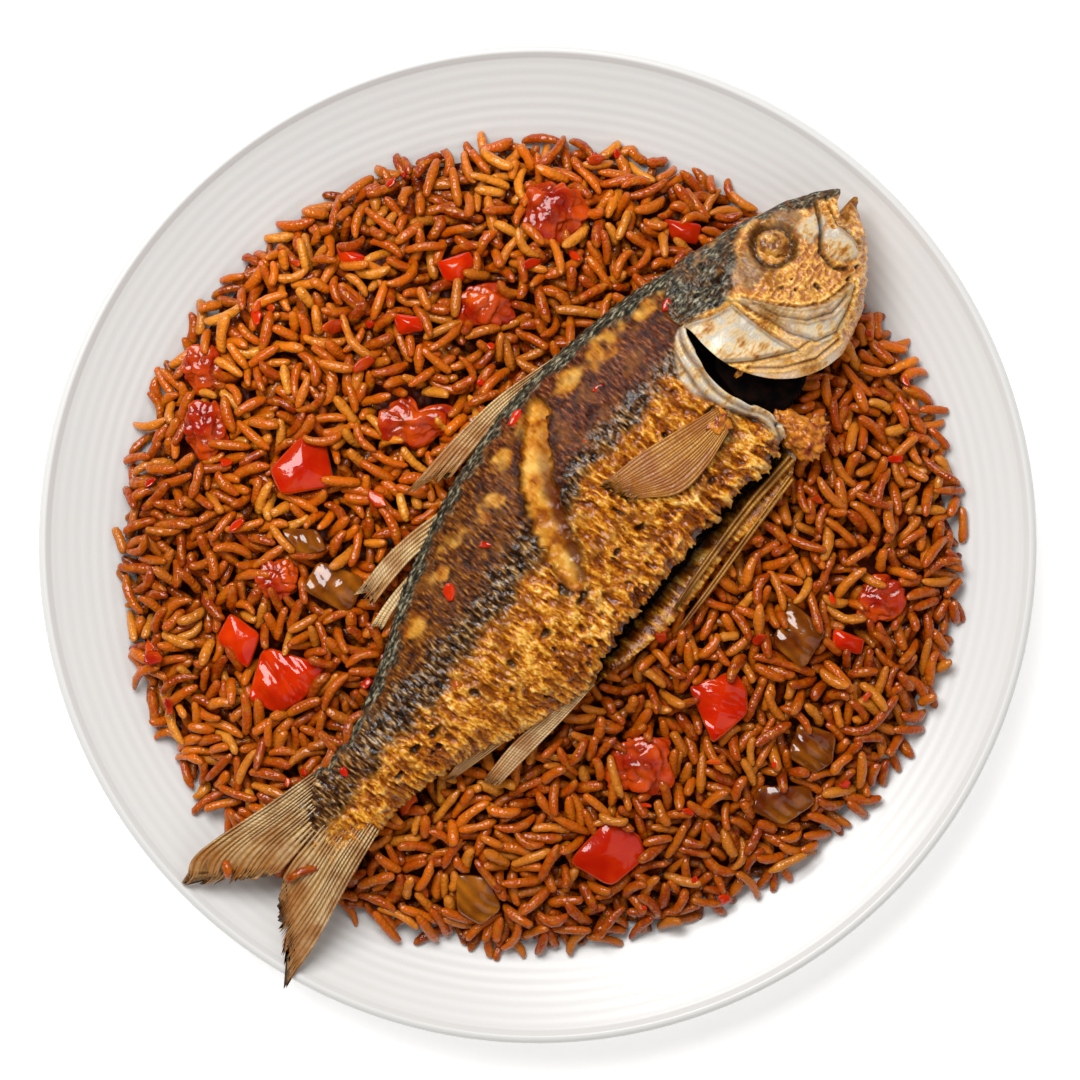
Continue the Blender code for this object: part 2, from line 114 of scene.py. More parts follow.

# %% [markdown]
# A mesh becomes a piece when it is put into the scene, rides on the meal's only body, and hides the solid
# it replaces. A single shape and a crowd of small ones need a function each.

# %% Meshes to pieces
def put(name, mesh, material, replaced=None):
    """Adds the mesh to the scene as a piece that rides on the only body."""
    mesh.materials.append(material)
    made = bpy.data.objects.new(name, mesh)
    bpy.context.scene.collection.objects.link(made)
    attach(made, "root")
    if replaced:
        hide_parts(replaced)
    mesh.calc_loop_triangles()
    print(f"{name}: {len(mesh.loop_triangles)} triangles")
    return made


def ring_piece(name, rings, material, replaced=None, slot=None, ends=None, **attributes):
    """A closed piece from rings of points, shape (rings, points round, 3), in metres.
    The end points are the middles of the end rings, unless they are given."""
    rings = np.asarray(rings, float)
    rows, cols = rings.shape[:2]
    if ends is None:
        ends = (rings[0].mean(0), rings[-1].mean(0))
    points = np.concatenate([rings.reshape(-1, 3), np.array(ends, float)])
    quads, fans = ring_faces(rows, cols, (rows * cols, rows * cols + 1))
    if ring_normals_inward(points, quads):
        quads, fans = quads[:, ::-1], fans[:, ::-1]
    full = {}
    for key, values in attributes.items():
        values = np.asarray(values, float)
        depth = values.shape[2:]
        tips = np.stack([values[0].mean(0), values[-1].mean(0)])
        full[key] = np.concatenate([values.reshape(-1, *depth), tips])
    return put(name, fill_mesh(name, points, quads, fans, full), material, replaced)


def crowd_piece(name, points, rows, cols, material, replaced=None, slot=None, **attributes):
    """One mesh from many small closed shapes, points of shape (shapes, points of one, 3), in metres. Each
    shape is a stack of rings and then its two end points."""
    count, per = points.shape[:2]
    quads, fans = ring_faces(rows, cols, (per - 2, per - 1))
    if ring_normals_inward(points[0] - points[0].mean(0), quads):
        quads, fans = quads[:, ::-1], fans[:, ::-1]
    first = (np.arange(count) * per)[:, None, None]
    mesh = fill_mesh(name, points.reshape(-1, 3), (quads + first).reshape(-1, 4),
                     (fans + first).reshape(-1, 3), attributes)
    return put(name, mesh, material, replaced)


quads, fans = ring_faces(3, 6, (18, 19))
print("three rings of six points:", len(quads), "quads,", len(fans), "triangles")

# %% [markdown]
# ## Unevenness
# Food has no straight line in it. Smooth random hills are worked out for whole arrays at once: each
# whole-number corner of a grid has a random height, and the heights between are blended. Several
# layers, each half as wide and half as high as the last, give lumps with smaller lumps on them.

# %% Random hills
def corner_value(ix, iy, iz, seed):
    """A number from -1 to 1 for each grid corner: the fraction of a large sine."""
    wild = np.sin(ix * 127.1 + iy * 311.7 + iz * 74.7 + seed * 53.3) * 43758.5453
    return 2 * (wild - np.floor(wild)) - 1


def hills(x, y, z=0.0, seed=0.0, layers=1):
    """Smooth random hills from about -1 to 1, with one hill per unit of x, y and z."""
    x, y, z = np.broadcast_arrays(*(np.asarray(v, float) for v in (x, y, z)))
    total, size = np.zeros(x.shape), 1.0
    for layer in range(layers):
        cells = [np.floor(v).astype(int) for v in (x, y, z)]
        parts = [v - c for v, c in zip((x, y, z), cells)]
        parts = [p * p * (3 - 2 * p) for p in parts]
        for dx in (0, 1):
            for dy in (0, 1):
                for dz in (0, 1):
                    share = 1.0
                    for d, p in zip((dx, dy, dz), parts):
                        share = share * (p if d else 1 - p)
                    corner = corner_value(cells[0] + dx, cells[1] + dy, cells[2] + dz, seed + layer)
                    total += size * share * corner
        x, y, z, size = x * 2.03, y * 2.03, z * 2.03, size / 2
    return total


def ball_directions(rings, sides):
    """Directions from a ball's middle, ring by ring: (sin a cos b, sin a sin b, cos a)."""
    rise = (np.arange(rings) + 0.5) / rings * np.pi
    turn = np.arange(sides) * 2 * np.pi / sides
    flat = np.sin(rise)[:, None]
    return np.stack([flat * np.cos(turn), flat * np.sin(turn), np.cos(rise)[:, None] + 0 * turn], -1)

# %% [markdown]
# Soft steps, curves through a few points and distances to a line are the other tools: outlines, borders
# between colours and folds are all given by a handful of points each.

# %% Steps, curves and lines
def smooth(low, high, x):
    """0 below low, 1 above high, and a soft step between."""
    t = np.clip((np.asarray(x, float) - low) / (high - low), 0, 1)
    return t * t * (3 - 2 * t)


def through(points, x):
    """A smooth curve through (x, y) points, read at x: cubic pieces whose slopes come from the neighbours."""
    known_x, known_y = (np.array(column, float) for column in zip(*points))
    slopes = np.gradient(known_y, known_x)
    x = np.clip(np.asarray(x, float), known_x[0], known_x[-1])
    i = np.clip(np.searchsorted(known_x, x, side="right") - 1, 0, len(known_x) - 2)
    span = known_x[i + 1] - known_x[i]
    t = (x - known_x[i]) / span
    return ((2 * t**3 - 3 * t**2 + 1) * known_y[i] + (t**3 - 2 * t**2 + t) * span * slopes[i]
            + (3 * t**2 - 2 * t**3) * known_y[i + 1] + (t**3 - t**2) * span * slopes[i + 1])


def near_line(x, y, points):
    """The distance to the nearest place on a line through the given points."""
    best = np.full(np.shape(x), 1e9)
    for (ax, ay), (bx, by) in zip(points, points[1:]):
        dx, dy = bx - ax, by - ay
        t = np.clip(((x - ax) * dx + (y - ay) * dy) / (dx * dx + dy * dy), 0, 1)
        best = np.minimum(best, np.hypot(x - ax - t * dx, y - ay - t * dy))
    return best


sample = hills(np.linspace(0, 40, 2000), 0.5, seed=1, layers=2)
print(f"two layers of hills: from {sample.min():.2f} to {sample.max():.2f}")

# %% [markdown]
# ## Materials
# A material is a small graph of nodes. Colours are written as the familiar sRGB hex values and turned
# into the linear values that the renderer works in. One function adds any node with its settings.

# %% Node helpers
def linear(code):
    """A hex colour such as #c98a2a as linear red, green, blue and 1."""
    values = [int(code[i:i + 2], 16) / 255 for i in (1, 3, 5)]
    return tuple(v / 12.92 if v <= 0.04045 else ((v + 0.055) / 1.055) ** 2.4 for v in values) + (1.0,)


def add(tree, kind, links=None, ramp=None, **settings):
    """Adds a node. settings are its own fields, links its inputs: a value, a hex colour or another node's
    output. ramp is a colour ramp's list of (position, hex colour)."""
    made = tree.nodes.new("ShaderNode" + kind)
    for key, value in settings.items():
        setattr(made, key, value)
    for key, value in (links or {}).items():
        if isinstance(value, bpy.types.NodeSocket):
            tree.links.new(value, made.inputs[key])
        else:
            made.inputs[key].default_value = linear(value) if isinstance(value, str) else value
    if ramp:
        stops = made.color_ramp.elements
        while len(stops) < len(ramp):
            stops.new(0.5)
        for stop, (position, code) in zip(stops, ramp):
            stop.position = position
            stop.color = linear(code)
    return made


def start_material(name, **shader):
    """A material with a Principled shader whose constant values are set directly."""
    material = bpy.data.materials.new(name)
    material.use_nodes = True
    tree = material.node_tree
    principled = tree.nodes["Principled BSDF"]
    for key, value in shader.items():
        principled.inputs[key.replace("_", " ")].default_value = value
    return material, tree, principled


def layered(tree, colour, *coats):
    """A colour under coats of other colours. A coat is (mask, colour) or (mask, colour, strength), and it
    shows as far as its mask, or its mask times the strength, is near 1."""
    for mask, over, *strength in coats:
        if strength:
            mask = add(tree, "Math", {0: mask, 1: strength[0]}, operation="MULTIPLY").outputs[0]
        colour = add(tree, "Mix", {0: mask, 6: colour, 7: over}, data_type="RGBA").outputs[2]
    return colour


def summed(tree, *parts):
    """The sum of (value, weight) pairs: each value times its weight, added up."""
    total = 0.0
    for value, weight in parts:
        total = add(tree, "Math", {0: value, 1: weight, 2: total}, operation="MULTIPLY_ADD").outputs[0]
    return total


def spots(tree, place, per_metre, low, high, detail=2.0):
    """Noise of so many hills per metre, stretched from 0 at low to 1 at high."""
    noise = add(tree, "TexNoise", {"Vector": place, "Scale": per_metre, "Detail": detail})
    return add(tree, "MapRange", {"Value": noise.outputs["Fac"], "From Min": low,
                                  "From Max": high}).outputs[0]


def finish(tree, shader, colour, height, strength, depth, **bump):
    """Gives the shader its colour, and a small relief of the given depth in metres. The relief is linked
    twice: to the body, and to the film of oil or glaze over it, which is where most of the gloss comes
    from."""
    tree.links.new(colour, shader.inputs["Base Color"])
    relief = add(tree, "Bump", {"Height": height, "Strength": strength, "Distance": depth}, **bump).outputs[0]
    tree.links.new(relief, shader.inputs["Normal"])
    tree.links.new(relief, shader.inputs["Coat Normal"])


print("#c98a2a in linear values:", [round(value, 3) for value in linear("#c98a2a")])

# %% [markdown]
# ## Camera, light and floor
# The meal is seen from straight above, from far enough that the plate's rim stays a circle. A large soft
# light, high on the far left, gives wet food its points of gloss and puts the fish's shadow in front of
# it, and an even surround fills the shadows. The surround is hidden from reflections: a bright one would
# lie as a pale veil over every oily grain. The paper glows a little, so the shadow beside the plate is
# faint.

# %% Camera, lights and floor
PLATE_RADIUS = 135 * MM
PLATE_HEIGHT = 22 * MM
CAMERA_HEIGHT = 1.2            # above the plate's rim
FRAME_WIDTH = 2.16 * PLATE_RADIUS
AIM = (0.7 * MM, 1.1 * MM)     # where the middle of the view lies

camera = bpy.data.objects.new("camera", bpy.data.cameras.new("camera"))
camera.data.sensor_width = 36
camera.data.lens = 36 * CAMERA_HEIGHT / FRAME_WIDTH
camera.data.clip_end = 20
camera.location = (*AIM, CAMERA_HEIGHT + PLATE_HEIGHT)
bpy.context.scene.collection.objects.link(camera)
bpy.context.scene.camera = camera
bpy.context.scene.view_settings.view_transform = "Standard"


def softbox(name, place, size, power):
    """A square light that faces the middle of the plate."""
    light = bpy.data.lights.new(name, "AREA")
    light.size = size
    light.energy = power
    made = bpy.data.objects.new(name, light)
    made.location = place
    made.rotation_euler = (-made.location).to_track_quat("-Z", "Y").to_euler()
    bpy.context.scene.collection.objects.link(made)


softbox("window", (-0.36, 0.62, 1.22), 0.8, 17.5)
softbox("fill", (0.7, -0.5, 1.3), 1.2, 2)

SURROUND_STRENGTH = 0.38
PAPER_GLOW = 0.35
FLOOR_HALF = 2.0
FLOOR_DROP = 0.3 * MM          # keeps the paper clear of the plate's foot
world = bpy.data.worlds.new("surround")
bpy.context.scene.world = world
world.use_nodes = True
world.node_tree.nodes["Background"].inputs["Color"].default_value = linear("#fbf8f4")
world.node_tree.nodes["Background"].inputs["Strength"].default_value = SURROUND_STRENGTH
world.cycles_visibility.glossy = False

floor_mesh = bpy.data.meshes.new("floor")
floor_corners = [(x * FLOOR_HALF, y * FLOOR_HALF, -FLOOR_DROP) for x,
                 y in ((-1, -1), (1, -1), (1, 1), (-1, 1))]
floor_mesh.from_pydata(floor_corners, [], [(0, 1, 2, 3)])
# Matt white paper: even and without gloss, so that nothing but the plate draws the eye.
floor_paper = start_material("white_paper", Roughness=0.9, Base_Color=linear("#fbfbfb"),
                             Emission_Strength=PAPER_GLOW)[0]
floor_mesh.materials.append(floor_paper)
floor = bpy.data.objects.new("floor", floor_mesh)
bpy.context.scene.collection.objects.link(floor)
floor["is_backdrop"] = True
print(f"lens: {camera.data.lens:.0f} mm")
# %% [markdown]
# ## The plate
# A thrown stoneware plate: a round profile carried once round an axis, as on a wheel. The potter's fingers
# leave fine rings, which are a small wave on the profile, a little uneven from ring to ring. The glaze is
# white, smooth and half shiny, and it is thinner and greyer on the crest of each ring.

# %% Plate
WELL_RADIUS = 84 * MM
WELL_TOP = 6 * MM
FOOT_RADIUS = 82 * MM
LIP_RADIUS = 1.6 * MM
WALL = 3.8 * MM
RING_PITCH = 2.9 * MM
RING_HEIGHT = 0.05 * MM
PLATE_SIDES = 256


def plate_floor(radius):
    """Height of the upper face: flat in the well, then rising as a power of the way to the rim."""
    rise = np.clip((np.asarray(radius) - WELL_RADIUS) / (PLATE_RADIUS - WELL_RADIUS), 0, 1)
    return WELL_TOP + (PLATE_HEIGHT - WELL_TOP) * rise**1.7


# The underside from the foot ring inwards, as (radius, height) in millimetres.
FOOT = ((83.0, 2.1), (82.3, 0.9), (81.4, 0.2), (80.6, 0.0), (77.6, 0.0), (76.8, 0.2), (76.0, 0.9),
        (75.2, 2.0),
        (73.5, 2.4), (60.0, 2.4), (30.0, 2.4), (4.0, 2.4))


def plate_profile():
    """(radius, height) over the upper face, round the rim and back under the plate, and the ring wave."""
    radius = np.linspace(4 * MM, PLATE_RADIUS - 2 * LIP_RADIUS, 240)
    wander = hills(radius / (9 * MM), 0.5, seed=3) * 0.9
    depth = 0.7 + 0.3 * hills(radius / (7 * MM), 2.5, seed=5)
    wave = np.sin(radius / RING_PITCH * 2 * np.pi + wander) * depth
    fine = 0.3 * np.sin(radius / RING_PITCH * 5 * np.pi)
    top = np.stack([radius, plate_floor(radius) + RING_HEIGHT * (wave + fine)], 1)
    turn = np.linspace(np.radians(115), np.radians(-70), 14)
    lip = np.stack([PLATE_RADIUS - LIP_RADIUS + LIP_RADIUS * np.cos(turn),
                    PLATE_HEIGHT - LIP_RADIUS + LIP_RADIUS * np.sin(turn)], 1)
    under_radius = np.linspace(PLATE_RADIUS - 4.5 * MM, FOOT_RADIUS + 4 * MM, 40)
    under = np.stack([under_radius, plate_floor(under_radius) - WALL], 1)
    foot = np.array(FOOT) * MM
    shade = np.concatenate([wave, np.zeros(len(lip) + len(under) + len(foot))])
    return np.concatenate([top, lip, under, foot]), shade


def turned(profile, sides):
    """The profile carried round the Z axis: x = r cos a, y = r sin a."""
    angle = np.arange(sides) * 2 * np.pi / sides
    r, z = profile[:, :1], profile[:, 1:]
    return np.stack([r * np.cos(angle), r * np.sin(angle), np.broadcast_to(z, (len(r), sides))], -1)

# %% [markdown]
# The glaze is milky white and half shiny, and greyer on each crest, where it ran thin in the kiln. The wave
# of the profile is stored on the points, so the colour follows the rings exactly.

# %% Glaze
# White satin glaze over stoneware: an even milky white with a soft shine and hardly any colour of its own.
glaze, tree, shader = start_material("satin_white_glaze", Roughness=0.34, IOR=1.5,
                                     Coat_Weight=0.25, Coat_Roughness=0.2)
place = add(tree, "TexCoord").outputs["Object"]
crest = add(tree, "Attribute", attribute_name="ring_wave").outputs["Fac"]
ringed = add(tree, "MapRange", {"Value": crest, "From Min": -1.0, "From Max": 1.0}).outputs[0]
cloud = spots(tree, place, 22, 0.35, 0.65)
white = layered(tree, "#eae9e7", (ringed, "#dfdedc"), (cloud, "#e4e3e1"))
orange_peel = add(tree, "TexNoise", {"Vector": place, "Scale": 900.0, "Detail": 1.0}).outputs["Fac"]
finish(tree, shader, white, orange_peel, 0.05, 0.2 * MM)

profile, ring_wave = plate_profile()
ring_piece("plate_body", turned(profile, PLATE_SIDES), glaze, "plate", "glazed_stoneware",
           ring_wave=np.repeat(ring_wave[:, None], PLATE_SIDES, 1))

# %% [markdown]
# ## Where the fish lies
# The fish has its own frame: x from the root of the tail to the snout, y towards its back and z towards
# the viewer, in millimetres. The sizes are those of its solid. The grains need to know how high they may
# stand under it, so this comes before the rice.

# %% The fish's frame and sections
FISH_ROOT = (-53.6, -70.9)
FISH_TURN = math.radians(50)
FISH_HEIGHT = 40.0
BACK_LINE = ((-4, 11.8), (12, 10.3), (30, 14), (60, 25.3), (85, 31.8), (112, 34.5),
             (135, 32.2), (165, 25.6), (190, 17.3), (205, 10.2), (213, 4.8))
BELLY_LINE = ((-4, -12.6), (15, -12.9), (30, -17), (50, -25), (70, -31.5), (95, -36.5),
              (120, -36), (148, -35.5), (160, -27.5), (172, -26), (187, -23.5),
              (197, -19), (206, -12), (213, -4.5))
HALF_THICKNESS = ((-4, 3.0), (12, 5.2), (40, 8.2), (75, 11.2), (110, 12.5), (150, 12.2),
                  (180, 11.0), (200, 7.2), (213, 2.6))


def droop(x):
    """How far the fish's middle plane lies below its highest place: a parabola along its length."""
    return 12.0 * ((np.asarray(x, float) - 100.0) / 120.0) ** 2


def to_world(points):
    """Points of the fish's frame, in millimetres, to metres in the meal's frame."""
    points = np.asarray(points, float)
    x, y, z = points[..., 0], points[..., 1], points[..., 2]
    c, s = math.cos(FISH_TURN), math.sin(FISH_TURN)
    return np.stack([FISH_ROOT[0] + x * c - y * s, FISH_ROOT[1] + x * s + y * c,
                     FISH_HEIGHT - droop(x) + z], -1) * MM


def to_fish(x, y):
    """A place in the meal's frame, in metres, to x and y of the fish's frame, in millimetres."""
    dx, dy = x / MM - FISH_ROOT[0], y / MM - FISH_ROOT[1]
    c, s = math.cos(FISH_TURN), math.sin(FISH_TURN)
    return dx * c + dy * s, -dx * s + dy * c


def fish_underside(x, y):
    """Height of the fish's lower side over a place, in metres, and a large number where there is no fish."""
    fx, fy = to_fish(x, y)
    back, belly = through(BACK_LINE, fx), through(BELLY_LINE, fx)
    across = (fy - (back + belly) / 2) / ((back - belly) / 2)
    low = through(HALF_THICKNESS, fx) * np.sqrt(np.clip(1 - across**2, 0, 1))
    under_tail = (fx > -46) & (fx <= -4) & (np.abs(fy) < 23)
    under_body = (fx > -4) & (fx < 214) & (np.abs(across) < 1)
    height = np.where(under_tail, FISH_HEIGHT - droop(fx) - 1.5, FISH_HEIGHT - droop(fx) - low)
    return np.where(under_tail | under_body, height * MM, 1.0)


print("snout at", np.round(to_world((213, 0, 0)), 3), "and tail root at", np.round(to_world((0, 0, 0)), 3))

# %% [markdown]
# ## The heap's core
# Only the outer two or three layers of a heap of rice can be seen, so the inside is one lumpy solid, a
# few millimetres smaller than the heap. It shows between the grains, with a relief of grain-sized bumps,
# and its dark red-brown is wet rice stuck together with stew and painted shade for the depths of the pile.

# %% Core of the heap
HEAP_RADIUS = 114 * MM
HEAP_TOP = 32 * MM
OUTLINE_WAVES = ((1, 1.0, -76), (2, 2.2, 9), (3, 1.2, -48))
CORE_DEPTH = 9 * MM
CORE_UNDER_FISH = 2.5 * MM
CORE_INSET = 6 * MM
CORE_SIDES = 180


def heap_outline(angle):
    """The heap's uneven radius: a few slow waves round a circle."""
    waves = [depth * MM * np.cos(count * angle - math.radians(crest)) for count, depth,
             crest in OUTLINE_WAVES]
    return HEAP_RADIUS + sum(waves)


def heap_height(x, y):
    """Height of the rice at a place: a flat-topped mound with low lumps on it."""
    radius, angle = np.hypot(x, y), np.arctan2(y, x)
    share = np.clip(radius / heap_outline(angle), 0, 1)
    edge = plate_floor(heap_outline(angle)) + 0.3 * MM
    fall = (1 - share**3.2) ** 0.8
    lumps = np.sin(x / 0.013 + 1.3) * np.sin(y / 0.011 + 0.4) + 0.6 * np.sin(x / 0.007 + y / 0.009)
    return edge + (HEAP_TOP - edge) * fall + 1.3 * MM * lumps * fall


def core_height(x, y):
    """Top of the core: under the heap's surface and under the fish, but never under the plate."""
    radius = np.hypot(x, y)
    bumps = 0.7 * MM * hills(x / (3.2 * MM), y / (3.2 * MM), seed=11, layers=2)
    top = np.minimum(heap_height(x, y) - CORE_DEPTH, fish_underside(x, y) - CORE_UNDER_FISH) + bumps
    return np.maximum(top, plate_floor(radius) + 0.4 * MM)

# %% [markdown]
# The core's top is worked out on rings from the middle to the outline, and its underside follows the plate.
# Its colour matters more than its shape, because it is what the gaps between the grains show.

# %% Core piece
# Rice stuck together with stew, wet and red-brown, and painted dark as shade, because light hardly reaches
# it.
stewed_and_shaded, tree, shader = start_material("rice_inside_stew_and_shade", Roughness=0.4, Specular_IOR_Level=0.2)
place = add(tree, "TexCoord").outputs["Object"]
dark_stew_and_shade = layered(tree, "#3c0e02", (spots(tree, place, 260, 0.35, 0.65, 3.0), "#7a2806"))
# Cells of 3 mm, the thickness of a grain.
cells = add(tree, "TexVoronoi", {"Vector": place, "Scale": 330.0}).outputs["Distance"]
finish(tree, shader, dark_stew_and_shade, cells, 0.6, 1.2 * MM, invert=True)

angle = np.arange(CORE_SIDES) * 2 * np.pi / CORE_SIDES
reach = heap_outline(angle) - CORE_INSET
share = np.concatenate([np.linspace(0.01, 0.9, 90), np.linspace(0.91, 1.0, 14)])[:, None]
core_x, core_y = share * reach * np.cos(angle), share * reach * np.sin(angle)
core_top = np.stack([core_x, core_y, core_height(core_x, core_y)], -1)
low_share = np.array([0.995, 0.9, 0.78, 0.4, 0.05])[:, None]
low_x, low_y = low_share * reach * np.cos(angle), low_share * reach * np.sin(angle)
core_low = np.stack([low_x, low_y, plate_floor(np.hypot(low_x, low_y)) + 0.3 * MM], -1)
ring_piece("rice_core", np.concatenate([core_top, core_low]), stewed_and_shaded, "rice_heap", "stewed_rice")

# %% [markdown]
# ## Cut vegetables: their places
# Each lump of vegetable keeps the place, slope and outline of its solid. The outline is read from the
# solid as a radius for each direction round its middle, so the piece below is a surface of two numbers:
# the direction, and the way from the middle over the rim to the other side.

# %% Outlines from the solids
def solid_points(node):
    """The corners of a solid, in metres."""
    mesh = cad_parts[node].data
    points = np.empty(len(mesh.vertices) * 3, np.float32)
    mesh.vertices.foreach_get("co", points)
    return points.reshape(-1, 3).astype(float)


def hull(points):
    """The outline round flat points: the turning corners of the lower and the upper chain."""
    points = sorted(map(tuple, points))
    chains = []
    for run in (points, points[::-1]):
        chain = []
        for p in run:
            while len(chain) > 1 and np.cross(np.subtract(chain[-1], chain[-2]),
                                              np.subtract(p, chain[-2])) <= 0:
                chain.pop()
            chain.append(p)
        chains += chain[:-1]
    return np.array(chains)


def outline_radius(corners, angle):
    """Where a ray from the middle at each angle crosses the outline's sides."""
    turn = np.arctan2(corners[:, 1], corners[:, 0])
    corners = corners[np.argsort(turn)]
    turn = np.sort(turn)
    wrapped = (angle - turn[0]) % (2 * np.pi) + turn[0]
    i = np.searchsorted(turn, wrapped, side="right") - 1
    a, b = corners[i], corners[(i + 1) % len(corners)]
    side = b - a
    ray = np.stack([np.cos(angle), np.sin(angle)], 1)
    return (a[:, 0] * side[:, 1] - a[:, 1] * side[:, 0]) / (ray[:, 0] * side[:, 1] - ray[:, 1] * side[:, 0])


def lie_of(node):
    """The middle of a solid and the slope (dz/dx, dz/dy) of the plane that fits it best."""
    points = solid_points(node)
    middle = (points.min(0) + points.max(0)) / 2
    flat = np.column_stack([points[:, 0] - middle[0], points[:, 1] - middle[1], np.ones(len(points))])
    slope = np.linalg.lstsq(flat, points[:, 2], rcond=None)[0]
    return middle, slope[:2], hull(points[:, :2] - middle[:2])


VEGETABLES = [name for name in sorted(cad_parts) if name.startswith(("pepper", "onion", "tomato"))]
print("vegetables:", len(VEGETABLES))

# %% [markdown]
# ## The grains
# Real grains pile up one at a time, and that is what gives a heap its bridges, gaps and leaning grains.
# A physics run would do it, but slowly. Here a map of heights stands for the pile: each grain falls, rests
# on the two highest places on either side of its middle, takes the slope between them, and is added
# to the map. A grain that would stand above the heap's surface or reach into the fish is taken away.
# The map starts as the core and the plate, with the vegetables already lying on it.

# %% Height map
FIELD_STEP = 0.6 * MM
FIELD_HALF = 138 * MM
GRAIN_LENGTH = (8.0 * MM, 12.4 * MM)
GRAIN_RADIUS = (1.26 * MM, 1.66 * MM)
GRAINS = 6800                 # at most: the heap is full before that
TRIES = 50000
STEEPEST = 0.8
random = np.random.default_rng(7)

ticks = np.arange(-FIELD_HALF, FIELD_HALF, FIELD_STEP)
field_x, field_y = np.meshgrid(ticks, ticks)
field = np.where(np.hypot(field_x, field_y) < heap_outline(np.arctan2(field_y, field_x)) - 6.5 * MM,
                 core_height(field_x, field_y), plate_floor(np.hypot(field_x, field_y)))
ceiling = fish_underside(field_x, field_y)
target = heap_height(field_x, field_y)
blocked = np.zeros(field.shape, bool)
for name in VEGETABLES:
    middle, slope, corners = lie_of(name)
    dx, dy = field_x - middle[0], field_y - middle[1]
    reach = outline_radius(corners, np.arctan2(dy, dx).ravel()).reshape(dx.shape)
    inside = np.hypot(dx, dy) < reach - 0.5 * MM
    field[inside] = (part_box(name)[1][2] + slope[0] * dx + slope[1] * dy)[inside] - 1.4 * MM
    blocked |= np.hypot(dx, dy) < reach * 0.86


def cell(value):
    """The map's row or column for a place."""
    return np.clip(((value + FIELD_HALF) / FIELD_STEP).astype(int), 0, len(ticks) - 1)


print("height map:", field.shape, "cells,", int(blocked.sum()), "of them under vegetables")

# %% [markdown]
# The grains fall one by one, because each needs the pile that the others left. Nine places along a grain
# are compared with the map: the line that touches the highest two is where it comes to rest. Before it
# falls, a grain looks at a few places and takes the lowest, so the heap fills up evenly.

# %% Drop the grains
LENGTHWISE = np.linspace(-0.9, 0.9, 9)
PAIRS = [(i, j) for i in range(4) for j in range(5, 9)]
PAIR_I, PAIR_J = np.array(PAIRS).T


def rest_of_grain(x, y, yaw, length, radius):
    """Height of the middle and slope of a grain that has fallen: the highest line over two places of the map,
    one on either side of the middle, limited to the steepest slope that grains hold."""
    c, s = math.cos(yaw), math.sin(yaw)
    t = LENGTHWISE * length / 2
    side = np.array([-0.35, 0.0, 0.35])[:, None] * radius
    rows, cols = cell(y + t * s + side * c), cell(x + t * c - side * s)
    ground = field[rows, cols].max(0)
    over = (ground[PAIR_I] * t[PAIR_J] - ground[PAIR_J] * t[PAIR_I]) / (t[PAIR_J] - t[PAIR_I])
    best = int(np.argmax(over))
    slope = (ground[PAIR_J[best]] - ground[PAIR_I[best]]) / (t[PAIR_J[best]] - t[PAIR_I[best]])
    slope = float(np.clip(slope, -STEEPEST, STEEPEST))
    height = float(np.max(ground - slope * t)) + 0.62 * radius
    fits = np.all(height + slope * t + radius < ceiling[rows[1], cols[1]])
    return height, slope, fits, rows[1], cols[1]


def add_to_field(x, y, z, yaw, slope, length, radius):
    """Raises the map to the grain's upper side: its line plus the round of its cross-section."""
    half = int((length / 2 + radius) / FIELD_STEP) + 1
    r, c = int(cell(np.array(y))), int(cell(np.array(x)))
    rows, cols = slice(max(r - half, 0), r + half + 1), slice(max(c - half, 0), c + half + 1)
    dx, dy = field_x[rows, cols] - x, field_y[rows, cols] - y
    along = dx * math.cos(yaw) + dy * math.sin(yaw)
    across = -dx * math.sin(yaw) + dy * math.cos(yaw)
    thick = radius**2 * (1 - np.clip(np.abs(2 * along / length), 0, 1) ** 2.4)
    top = np.where(across**2 < thick, z + slope * along + np.sqrt(np.clip(thick - across**2, 0, None)), -1.0)
    field[rows, cols] = np.maximum(field[rows, cols], top)


def drop_grains(count, tries):
    """Rows of x, y, z, yaw, slope, length, radius for the grains that stay. Of a few places, and of more
    towards the end, a grain takes the one that is deepest below the heap's surface."""
    kept = []
    for attempt in range(tries):
        if len(kept) == count:
            break
        choices = 3 + 40 * attempt // tries
        angle = random.uniform(0, 2 * np.pi, choices)
        away = np.sqrt(random.uniform(0, 1, choices)) * (heap_outline(angle) - random.uniform(0.0, 3.5 * MM))
        x, y = away * np.cos(angle), away * np.sin(angle)
        rows, cols = cell(y), cell(x)
        roof = np.minimum(target[rows, cols], ceiling[rows, cols])
        room = roof - field[rows, cols] - 0.05 * blocked[rows, cols]
        pick = int(np.argmax(room))
        x, y = float(x[pick]), float(y[pick])
        yaw = random.uniform(0, 2 * np.pi)
        length = random.uniform(*GRAIN_LENGTH) * (1 if random.random() < 0.86 else 0.72)
        radius = random.uniform(*GRAIN_RADIUS)
        spare = random.normal(1.5, 0.9) * MM
        if blocked[rows[pick], cols[pick]]:
            continue
        z, slope, fits, line_rows, line_cols = rest_of_grain(x, y, yaw, length, radius)
        stands = z + radius - target[line_rows[4], line_cols[4]]
        if fits and stands < spare and not blocked[line_rows, line_cols].sum() > 2:
            add_to_field(x, y, z, yaw, slope, length, radius)
            kept.append((x, y, z, yaw, slope, length, radius))
    return np.array(kept)


grain_rows = drop_grains(GRAINS, TRIES)
print("grains laid:", len(grain_rows))

# %% [markdown]
# ## The look of a grain
# A cooked long grain is a spindle with blunt ends, a little bent and a little flat. Its surface is oily, so
# the light runs along it in a thin bright line. The colour differs from grain to grain, from yellow-orange
# where the oil is, to red-brown deep in the pile, where the stew has soaked in and painted shade darkens it.

# %% Grain shape
RING_STOPS = np.array([-0.975, -0.87, -0.5, 0.0, 0.5, 0.87, 0.975])
RING_SIDES = 6
RING_TURN = (np.arange(RING_SIDES) + 0.5) * 2 * np.pi / RING_SIDES


